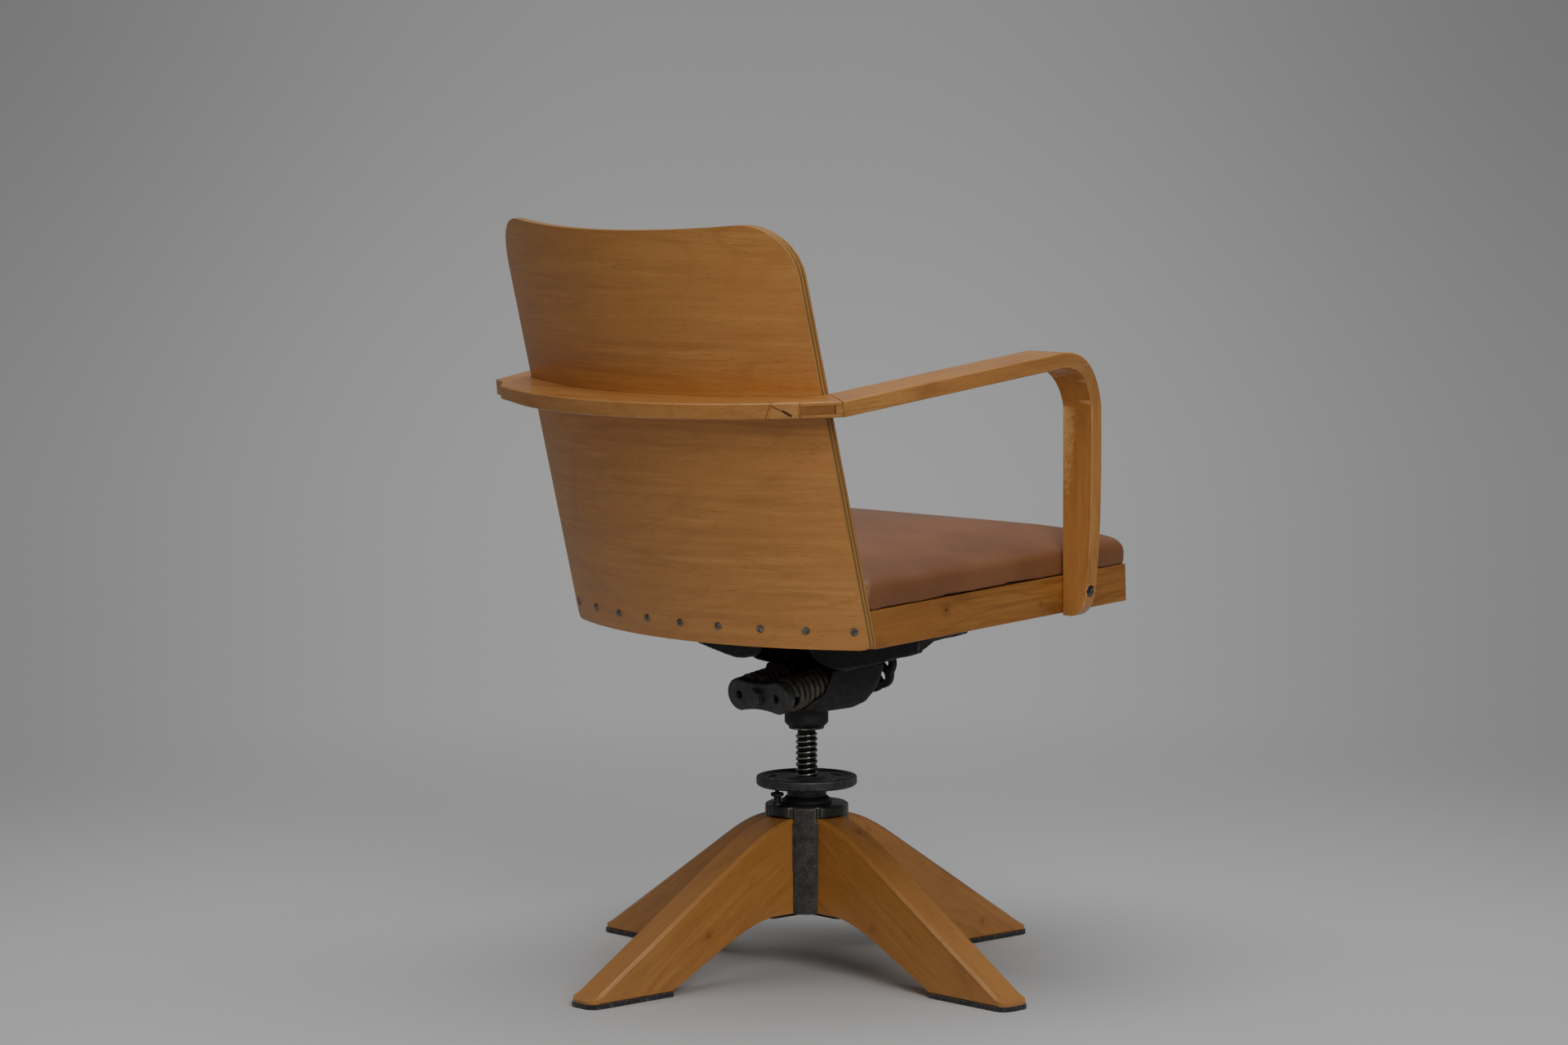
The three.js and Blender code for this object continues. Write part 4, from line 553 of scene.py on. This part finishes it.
def seatGrain(order, seed):
    def at(point):
        p = intoSeat @ point
        return offsetGrain(seed, *(p[i] for i in order))
    return at


# The lower edge of the bow's left end rises to meet the arm, in two stages: rise, start and run
bowRise = {"below": 0.318, "stages": ((0.0020, 0.13, 0.07), (0.0034, 0.216, 0.022))}


def bowEnd(p):
    if p.z < bowRise["below"]:
        p.z += sum(rise * eased((p.x - start) / run) for rise, start, run in bowRise["stages"])
    return p


# The bolt's pocket in a post: a wooden lining narrows it, so that its rim stays inside the narrow face
pocket = {
    # Its axis, its lining's outer and inner radii, and its floor
    "y": -0.1544, "z": 0.071, "edge": 0.0084, "wide": 0.0083, "rim": 0.0070, "narrow": 0.0067,
    "rimDepth": 0.93, "floor": 0.2602, "columns": 48,
    # The post's outer face, which bends, and its rear face
    "face": 0.26622, "bend": 0.0669, "upper": 0.106, "lower": 0.391, "rear": -0.14682, "rearSlope": 0.041,
    "proud": 0.00002, "rounding": 0.0012,
}


def around(count):
    return [2 * math.pi * i / count for i in range(count)]


def postFace(z):
    slope = pocket["upper"] if z > pocket["bend"] else pocket["lower"]
    return pocket["face"] + (z - pocket["bend"]) * slope


def inPocket(p):
    return math.hypot(p.y - pocket["y"], p.z - pocket["z"]) < pocket["edge"]


def pocketLining(side):
    wide, rim, narrow = pocket["wide"], pocket["rim"], pocket["narrow"]
    profile = ((wide, 0), (wide, 1), (rim, 1), (narrow, pocket["rimDepth"]), (narrow, 0))

    def spot(radius, top, angle):
        y, z = pocket["y"] + radius * math.cos(angle), pocket["z"] + radius * math.sin(angle)
        rear = pocket["rear"] - (z - pocket["z"]) * pocket["rearSlope"]
        y = min(y, rear)
        face = postFace(z) + pocket["proud"] - max(0, y - rear + pocket["rounding"])
        return seatFrame @ Vector((side * (pocket["floor"] + (face - pocket["floor"]) * top), y, z))

    def add(made):
        rings = [[made.verts.new(spot(radius, top, angle)) for angle in around(pocket["columns"])]
                 for radius, top in profile]
        for a, b in zip(rings, rings[1:] + rings[:1]):
            for i in range(pocket["columns"]):
                j = (i + 1) % pocket["columns"]
                made.faces.new((a[i], a[j], b[j], b[i]))
        bmesh.ops.recalc_face_normals(made, faces=made.faces)
        made.verts.index_update()
    return add


# Softened edges of the wooden pieces, in metres
softness = {"leg": 0.0020, "side_rail": 0.0014, "arm": 0.0010, "arm_post": 0.0010, "front_rail": 0.0012,
            "back_bow": 0.0011, "back_panel": 0.0008, "hidden": 0.0008}


def lacquered(kind, end, body, finish, grainAt, **more):
    softened(kind + end, body, finishes[finish], softness[kind], grainAt, "lacquered_wood", **more)


for i, side in enumerate(("left", "rear", "right", "front")):
    lacquered("leg", f"_{side}", "base", "legs", legGrain(90 * i + chair["baseYaw"], i + 1))
for i, (hand, side) in enumerate((("right", -1), ("left", 1))):
    lacquered("side_rail", f"_{hand}", "seat", "rails", seatGrain((1, 2, 0), 6 + i))
    lacquered("arm", f"_{hand}", "seat", "frame", seatGrain((1, 0, 2), 9 + i), sharp=20)
    lacquered("arm_post", f"_{hand}", "seat", "frame", seatGrain((2, 0, 1), 12 + i), sharp=20,
              spare=inPocket, more=pocketLining(side))
lacquered("front_rail", "", "seat", "rails", seatGrain((0, 2, 1), 16))
lacquered("back_bow", "", "seat", "bow", seatGrain((0, 2, 1), 18), shape=bowEnd)
print("wood softened")


# Back panel: grain follows the curve, and its narrow faces show the layers
def backPanel():
    made = {"foot": 0.1754, "low": 0.0439, "plyFaceFrom": 0.004}
    rake = math.radians(chair["backRake"])

    def at(point):
        p = intoSeat @ point
        y = p.y - made["foot"] - (p.z - made["low"]) * math.tan(rake) + (backRadius - chair["backRise"])
        depth = backRadius - math.hypot(p.x, y)
        return offsetGrain(0, backRadius * math.atan2(p.x, y), p.z / math.cos(rake), depth)

    layers = [finishes["panel"], finishes["edge"]]
    panel = softened("back_panel", "seat", layers, softness["back_panel"], at, "plywood", slack=0.2)
    grain = panel.data.attributes["grain"].data
    for face in panel.data.polygons:
        depths = [grain[v].vector.z for v in face.vertices]
        if max(depths) - min(depths) > made["plyFaceFrom"]:
            face.material_index = 1


backPanel()
# The seat board takes the near-black painted-shade finish
for name, finish in (("rear_rail", "plain"), ("seat_bearer", "plain"), ("seat_board", "shadeDarkBoard")):
    softened(name, "seat", finishes[finish], softness["hidden"], seatGrain((0, 2, 1), 21), "plain_wood")
print("panel and hidden wood done")

# Body, finish, voxel size in metres and rounds of smoothing
castings = {
    "hub_casting": ("base", "hammered", 0.0010, 3), "lock_pin": ("lock_pin", "iron", 0.0005, 3),
    "thrust_collar": ("base", "iron", 0.0008, 3), "handwheel": ("handwheel", "wheel", 0.0008, 3),
    "tilt_bracket": ("bracket", "iron", 0.0011, 5), "spring_yoke": ("tension_rod", "yoke", 0.0007, 4),
    "tension_bolt": ("tension_rod", "yoke", 0.0006, 2),
    "tension_wheel": ("tension_wheel", "iron", 0.0007, 4), "seat_spider": ("seat", "iron", 0.0015, 3),
}
for name, (body, finish, voxel, rounds) in castings.items():
    casting(name, body, finishes[finish], voxel, rounds)
print("castings rounded")

# Pieces kept as the CAD has them, with a finish and slightly rounded edges
keeps = {
    "felt": [f"foot_pad_{s}" for s in ("left", "rear", "right", "front")],
    "iron": ["hub_base_plate"],
    "steel": ["guide_key", "thrust_washer", "spindle_nut", "pivot_pin"]
    + [f"plate_screw_{s}" for s in ("left", "rear", "right", "front")]
    + [f"spider_screw_{e}_{h}" for e in ("front", "rear") for h in ("left", "right")],
}
keptEdge = {"width": 0.0004, "sharp": 30}
for finish, names in keeps.items():
    for name in names:
        piece = nodes[name]
        for entry in piece.material_slots:
            entry.material = finishes[finish].material
        rounding = piece.modifiers.new("edge rounding", "BEVEL")
        rounding.width, rounding.segments, rounding.limit_method = keptEdge["width"], 2, "ANGLE"
        rounding.angle_limit, rounding.harden_normals = math.radians(keptEdge["sharp"]), True


# A mesh of rings of points, each ring joined to the next, its ends closed where asked
def ringMesh(name, vertices, count, closed=True):
    rings = len(vertices) // count
    faces = []
    for j in range(rings - 1):
        for i in range(count):
            a, b = j * count + i, j * count + (i + 1) % count
            faces.append((a, b, b + count, a + count))
    if closed:
        faces += [tuple(range(count))[::-1], tuple(range((rings - 1) * count, rings * count))]
    mesh = bpy.data.meshes.new(name)
    mesh.from_pydata(vertices, [], faces)
    return mesh


# Spindle: a rounded thread with its keyway, as one grid round the axis
def threadedSpindle():
    made = {"radius": 0.0126, "root": 0.0104, "pitch": 0.0065, "crest": 0.36, "runOut": (0.004, 0.002),
            "start": 0.001, "keyHalf": 0.0025, "keyDepth": 0.0026, "keyAngle": -93.5, "keyEnd": 0.01,
            "columns": 96, "rows": 0.0003, "shoulder": 0.2796, "journal": 0.010, "chamfer": 0.0006,
            "sharp": 50}
    low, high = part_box("spindle")
    shoulder = made["shoulder"]
    rows = int((shoulder - low.z) / made["rows"])
    vertices = []
    key = math.radians(made["keyAngle"])

    def radiusAt(angle, z):
        phase = (z / made["pitch"] - angle / (2 * math.pi)) % 1
        rise = math.sqrt(max(0.0, 1 - (abs(phase - 0.5) / made["crest"]) ** 2))
        before, over = made["runOut"]
        end = min(1, max(0, (shoulder - before - z) / over), max(0, (z - low.z) / made["start"]))
        return made["root"] + (made["radius"] - made["root"]) * rise * max(0.0, end)

    for j in range(rows + 1):
        z = low.z + (shoulder - low.z) * j / rows
        for angle in around(made["columns"]):
            r = radiusAt(angle, z)
            aside = r * math.sin(angle - key)
            if abs(aside) < made["keyHalf"] and math.cos(angle - key) > 0 and z < shoulder - made["keyEnd"]:
                r = min(r, (made["radius"] - made["keyDepth"]) / math.cos(angle - key))
            vertices.append((r * math.cos(angle), r * math.sin(angle), z))
    journal, chamfer = made["journal"], made["chamfer"]
    for z, r in ((shoulder, journal), (high.z - chamfer, journal), (high.z, journal - chamfer)):
        vertices += [(r * math.cos(angle), r * math.sin(angle), z) for angle in around(made["columns"])]
    mesh = ringMesh("threaded_spindle", vertices, made["columns"])
    placed(mesh, "threaded_spindle", "spindle", finishes["spindle"], "spindle", slotName="steel")
    mesh.set_sharp_from_angle(angle=math.radians(made["sharp"]))


threadedSpindle()


# Springs: round wire with closed ends, along the tension bolt
def coil(side):
    made = {"outer": 0.040, "wire": 0.0065, "turns": 6.5, "closed": 0.75, "endRise": 0.007, "perTurn": 40,
            "sides": 14, "apart": 0.058, "yoke": 0.014, "seat": 0.0047, "gap": 0.0003, "travel": 0.0067}
    lean = math.radians(chair["rodSlope"])
    back = Vector((0, math.cos(lean), -math.sin(lean)))  # along the bolt, to the rear
    across, up = Vector((1, 0, 0)), Vector((0, math.sin(lean), math.cos(lean)))
    foot = chair["pivot"] - up * chair["rodOffset"]
    seatAlong = (made["seat"] - foot.y) / math.cos(lean) + made["gap"]
    length = chair["yokeRear"] - seatAlong - made["yoke"] - made["gap"] * 2
    start = foot + back * seatAlong + across * (side * made["apart"] / 2)
    radius = (made["outer"] - made["wire"]) / 2
    rise = length - made["wire"]
    closing = made["endRise"] / rise
    steps = int(made["turns"] * made["perTurn"])

    def centre(i):
        turn = i / steps * made["turns"]
        if turn < made["closed"]:
            lift = turn / made["closed"] * closing
        elif turn > made["turns"] - made["closed"]:
            lift = 1 - (made["turns"] - turn) / made["closed"] * closing
        else:
            share = (turn - made["closed"]) / (made["turns"] - 2 * made["closed"])
            lift = closing + share * (1 - 2 * closing)
        angle = 2 * math.pi * turn
        out = across * math.cos(angle) + up * math.sin(angle)
        return start + back * (made["wire"] / 2 + lift * rise) + out * radius

    centres = [centre(i) for i in range(steps + 1)]
    vertices = []
    for i, point in enumerate(centres):
        ahead = (centres[min(i + 1, steps)] - centres[max(i - 1, 0)]).normalized()
        out = (point - start - back * back.dot(point - start)).normalized()
        top = ahead.cross(out).normalized()
        beside = top.cross(ahead).normalized()
        vertices += [point + (beside * math.cos(angle) + top * math.sin(angle)) * made["wire"] / 2
                     for angle in around(made["sides"])]
    name = "left" if side > 0 else "right"
    mesh = ringMesh(f"coil_{name}", vertices, made["sides"])
    piece = placed(mesh, f"coil_{name}", "bracket", finishes["spring"], f"spring_{name}",
                   slotName="aged_steel")
    keep = (length - made["travel"]) / length
    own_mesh(piece)


for side in (-1, 1):
    coil(side)
print("springs and spindle done")


# Slotted heads: a low dome as rings round the screw's axis, its slot pressed in
def slottedHead(name, node, finish, axis, spin, look, slotName):
    out = axis.normalized()
    corners = [v.co for v in nodes[node].data.vertices]
    tip = max(c.dot(out) for c in corners)
    foot = tip - look["height"] + look["lift"]
    across = out.cross(Vector((0, 0, 1))).normalized()
    top = out.cross(across).normalized()
    slotWay = across * math.cos(spin) + top * math.sin(spin)
    offWay = out.cross(slotWay)
    near = [c for c in corners if c.dot(out) > tip - look["height"] * look["nearShare"]]
    centre = sum(near, Vector()) / len(near)
    centre = centre - out * centre.dot(out)
    vertices = []
    for j in range(look["rings"] + 1):
        share = j / look["rings"]
        dome = look["height"] * math.sqrt(max(0.0, 1 - (share * look["bulge"]) ** 2))
        for angle in around(look["columns"]):
            side = (slotWay * math.cos(angle) + offWay * math.sin(angle)) * look["radius"] * share
            slope = (abs(side.dot(offWay)) - look["slotHalf"]) / look["slotEdge"]
            sunk = look["slotDepth"] * (1 - min(1, max(0, slope)))
            vertices.append(centre + out * (foot + dome - sunk) + side)
    vertices += [centre + out * (foot - look["skirt"])
                 + (slotWay * math.cos(angle) + offWay * math.sin(angle)) * look["radius"]
                 for angle in around(look["columns"])]
    mesh = ringMesh(name, vertices, look["columns"], closed=False)
    mesh.validate()
    placed(mesh, name, "seat", finish, node, slotName=slotName)
    mesh.set_sharp_from_angle(angle=math.radians(look["sharp"]))


panelScrew = {"radius": 0.0044, "height": 0.0016, "bulge": 0.86, "slotHalf": 0.0005, "slotDepth": 0.0009,
              "slotEdge": 0.0002, "skirt": 0.0005, "lift": 0.0, "rings": 14, "columns": 48, "sharp": 35,
              "nearShare": 0.9}
postBolt = {**panelScrew, "radius": 0.0064, "height": 0.0030, "bulge": 0.96, "slotHalf": 0.0006,
            "skirt": 0.0030, "lift": 0.0030, "spin": 0.9}
screwRow = {"margin": 0.013, "spins": (0.5, 2.2, 1.1, 2.9, 0.2, 2.4, 0.9, 1.9, 2.7)}
sweep = math.asin(chair["backHalf"] / backRadius) - screwRow["margin"] / backRadius
level, down = math.cos(math.radians(chair["backRake"])), -math.sin(math.radians(chair["backRake"]))
for i, spin in enumerate(screwRow["spins"]):
    angle = sweep * (2 * i / (len(screwRow["spins"]) - 1) - 1)
    axis = seatFrame.to_3x3() @ Vector((math.sin(angle) * level, math.cos(angle) * level, down))
    slottedHead(f"slotted_screw_{i + 1}", f"panel_screw_{i + 1}", finishes["screw"], axis, spin, panelScrew,
                "aged_steel")
for hand, side in (("right", -1), ("left", 1)):
    slottedHead(f"slotted_bolt_{hand}", f"post_bolt_{hand}", finishes["blackBolt"], Vector((side, 0, 0)),
                postBolt["spin"], postBolt, "steel")
print("screw heads done")


# Cushion: the CAD pad swollen by a short cloth simulation, its leather drawn down over the board's edge
def cushion():
    made = {
        # The cloth: its grid, its size before it swells, how hard and how far it swells
        "voxel": 0.0045, "shrink": (0.992, 0.995, 0.955), "pressure": 4.0, "stiffness": 30, "bending": 2,
        "cap": 0.0035, "frames": 20, "evened": 5,
        # The pad's foot and half width, and the board below it
        "foot": 0.0915, "side": 0.2291, "board": 0.2240, "boardCorner": 0.015, "overhang": 0.0122,
        # The lower band that stands upright, and how far it stays inside the frame
        "upright": 0.012, "fade": 0.020, "band": 0.003, "least": (0.2, 0.15, 0.15), "front": 0.0050,
        "tight": 0.0006, "nip": 0.0010, "nipFade": 0.004,
        # The corners pushed outward
        "corner": 0.0040, "cornerTop": 0.4, "cornerFrom": (0.90, 0.92), "cornerRun": (0.09, 0.07),
        # The leather drawn down over the board's edge
        "wrap": 0.0066, "drop": 0.0044, "lip": 0.0025, "wrapFrom": 0.003, "wrapFade": 0.013,
    }
    form = formOf("seat_cushion")
    spots = [intoSeat @ v.co for v in form.verts]
    ends = [f(p.y for p in spots) for f in (min, max)]
    middle = Vector((0, sum(ends) / 2, made["foot"]))
    for v, p in zip(form.verts, spots):
        v.co = seatFrame @ (middle + Vector([(p - middle)[i] * made["shrink"][i] for i in range(3)]))
    mesh = bpy.data.meshes.new("leather_cushion")
    form.to_mesh(mesh)
    form.free()
    pad = bpy.data.objects.new("leather_cushion", mesh)
    bpy.context.scene.collection.objects.link(pad)
    mesh.materials.append(finishes["leather"].material)
    mesher = pad.modifiers.new("skin", "REMESH")
    mesher.mode, mesher.voxel_size = "VOXEL", made["voxel"]
    applied(pad)
    rest = [v.co.copy() for v in pad.data.vertices]
    cloth = pad.modifiers.new("swell", "CLOTH")
    cloth.settings.use_pressure = True
    cloth.settings.uniform_pressure_force = made["pressure"]
    cloth.settings.effector_weights.gravity = 0
    cloth.settings.tension_stiffness = cloth.settings.compression_stiffness = made["stiffness"]
    cloth.settings.bending_stiffness = made["bending"]
    for step in range(1, made["frames"] + 1):
        bpy.context.scene.frame_set(step)
    applied(pad)
    bpy.context.scene.frame_set(1)
    for v, start in zip(pad.data.vertices, rest):
        moved = v.co - start
        if moved.length > made["cap"]:
            moved *= made["cap"] / moved.length
        free = min(1, max(0, ((intoSeat @ start).z - made["foot"]) / made["upright"]))
        v.co = start + moved * free
    smoother = pad.modifiers.new("even", "SMOOTH")
    smoother.factor, smoother.iterations = 0.5, made["evened"]
    applied(pad)
    drawDown(pad, made, middle, ends)
    finer = pad.modifiers.new("finer", "SUBSURF")
    finer.levels = finer.render_levels = 1
    applied(pad)
    pad.data.polygons.foreach_set("use_smooth", [True] * len(pad.data.polygons))
    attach(pad, "seat")
    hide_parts("seat_cushion")


# The leather's lower band stands upright, fills the corners and goes down past the board to the rails
def drawDown(pad, made, middle, ends):
    seated = [intoSeat @ v.co for v in pad.data.vertices]
    reach = {}
    for p in seated:
        level = round((p.z - made["foot"]) / made["band"])
        wide, back, front = reach.get(level, (0, 0, 0))
        reach[level] = (max(wide, abs(p.x)), max(back, p.y - middle.y), max(front, middle.y - p.y))

    def reachAt(height, which):
        low = math.floor(height / made["band"])
        share = height / made["band"] - low
        near, far = (reach.get(k, reach[max(0, min(k, max(reach)))])[which] for k in (low, low + 1))
        return max(made["least"][which], near * (1 - share) + far * share)

    for v, p in zip(pad.data.vertices, seated):
        height = p.z - made["foot"]
        hold = 1 - eased((height - made["upright"]) / made["fade"])
        nip = made["nip"] * (1 - eased(height / made["nipFade"]))
        across, along = p.x / made["side"], (p.y - middle.y) / (ends[1] - middle.y)
        corner = 1
        for share, start, run in zip((abs(across), abs(along)), made["cornerFrom"], made["cornerRun"]):
            corner *= eased((share - start) / run)
        p.x *= 1 + hold * ((made["side"] - nip) / reachAt(height, 0) - 1)
        side = 1 if p.y > middle.y else 2
        half = ends[1] - middle.y if side == 1 else middle.y - ends[0] - made["front"]
        full = half - made["tight"] - nip
        p.y = middle.y + (p.y - middle.y) * (1 + hold * (full / reachAt(height, side) - 1))
        p.y += made["front"] * (1 - hold) * max(0, -along) ** 2
        pushed = made["corner"] * corner * (made["cornerTop"] + (1 - made["cornerTop"]) * hold)
        p.x += math.copysign(pushed, p.x)
        p.y += math.copysign(pushed, along)
        p.x = math.copysign(min(abs(p.x), made["side"]), p.x)
        p.y = min(ends[1], max(ends[0], p.y))
        beyond = (abs(p.x) - made["board"], ends[0] + made["overhang"] - p.y)
        outward = math.hypot(*(max(0, b + made["boardCorner"]) for b in beyond)) - made["boardCorner"]
        kept = eased((height - made["wrapFrom"]) / made["wrapFade"])
        lowered = p.z - made["wrap"] * eased(outward / made["lip"]) * (1 - kept)
        p.z = max(lowered, min(p.z, made["foot"] - made["drop"]))
        v.co = seatFrame @ p


cushion()
print("cushion done")


# Floor: pale, and fading into the wall behind
def plainFloor():
    look = {"radius": 30, "dark": rgb(0.60, 0.60, 0.60), "pale": rgb(0.63, 0.63, 0.63), "fade": (0.75, 2.3)}
    mesh = bpy.data.meshes.new("floor")
    form = bmesh.new()
    bmesh.ops.create_circle(form, cap_ends=True, radius=look["radius"], segments=96)
    form.to_mesh(mesh)
    form.free()
    floor = bpy.data.objects.new("floor", mesh)
    bpy.context.scene.collection.objects.link(floor)
    made = Finish("pale floor")
    spot = made.place()
    haze = made.grainNoise(spot, (0.7, 0.7, 0.7), 3.0)
    tone = made.tint(made.span(haze, 0.3, 0.7), look["dark"], look["pale"])
    made.set(Base_Color=tone, Roughness=0.75, Specular_IOR_Level=0.2)
    far = made.span(made.vector("LENGTH", spot), *look["fade"])
    clear = made.node("ShaderNodeBsdfTransparent")
    made.show(made.node("ShaderNodeMixShader", {}, {0: far, 1: made.body, 2: clear}))
    mesh.materials.append(made.material)


# Soft lights: each a rectangle turned to a point on the chair's axis
softboxes = {
    "key softbox": {"place": (-3.4, 1.7, 2.2), "aim": 0.4, "size": (1.8, 1.8), "power": 61},
    "overhead softbox": {"place": (0.0, 0.2, 3.2), "aim": 0.3, "size": (3.0, 3.0), "power": 62},
    "rear fill": {"place": (-1.2, 4.2, 1.7), "aim": 0.4, "size": (2.0, 2.0), "power": 5},
    "low fill": {"place": (-3.2, 3.0, 0.5), "aim": 0.35, "size": (1.2, 0.6), "power": 5},
}


def softLight(name, look):
    lamp = bpy.data.lights.new(name, "AREA")
    lamp.shape, lamp.energy = "RECTANGLE", look["power"]
    lamp.size, lamp.size_y = look["size"]
    lit = bpy.data.objects.new(name, lamp)
    lit.location = look["place"]
    lit.rotation_euler = (Vector((0, 0, look["aim"])) - lit.location).to_track_quat("-Z", "Y").to_euler()
    bpy.context.scene.collection.objects.link(lit)


# The camera sees a soft grey wall, brightest low in the middle; gloss and shade get a dimmer one
def room():
    look = {"middle": (0.700, -0.712), "height": (-0.10, 0.03, 0.365, 0.275),
            "side": (0.02, 0.19, 1.0, 0.62), "gloss": rgb(0.19, 0.19, 0.19),
            "ambient": rgb(0.07, 0.07, 0.07)}
    world = bpy.data.worlds.new("grey room")
    bpy.context.scene.world = world
    world.use_nodes = True
    made = Graph(world.node_tree, "ShaderNodeOutputWorld")
    way = made.node("ShaderNodeTexCoord", out="Generated")
    middle = Vector(look["middle"]).normalized()
    aside = made.vector("DOT_PRODUCT", way, (middle.y, -middle.x, 0.0)).math("ABSOLUTE")
    wall = made.span(made.vector("DOT_PRODUCT", way, (0.0, 0.0, 1.0)), *look["height"])
    wall = wall * made.span(aside, *look["side"])
    shown, glossy, ambient = (made.node("ShaderNodeBackground", {}, {"Color": tone})
                              for tone in (wall, look["gloss"], look["ambient"]))
    for ray, light in (("Is Glossy Ray", glossy), ("Is Camera Ray", shown)):
        hit = made.node("ShaderNodeLightPath", out=ray)
        ambient = made.node("ShaderNodeMixShader", {}, {0: hit, 1: ambient, 2: light})
    made.show(ambient)


plainFloor()
room()
for name, look in softboxes.items():
    softLight(name, look)

# Camera: the photo's own place, in metres and degrees
cameraLook = {"place": (-3.8045, 3.9448, 1.0547), "turn": (84.39871, 0.22437, -135.79877), "lens": 110.514,
              "sensor": 36}
lens = bpy.data.cameras.new("camera")
lens.lens, lens.sensor_width, lens.sensor_fit = cameraLook["lens"], cameraLook["sensor"], "HORIZONTAL"
lens.clip_end = 100
camera = bpy.data.objects.new("camera", lens)
camera.location = cameraLook["place"]
camera.rotation_euler = [math.radians(a) for a in cameraLook["turn"]]
bpy.context.scene.collection.objects.link(camera)
bpy.context.scene.camera = camera
print("stage set")
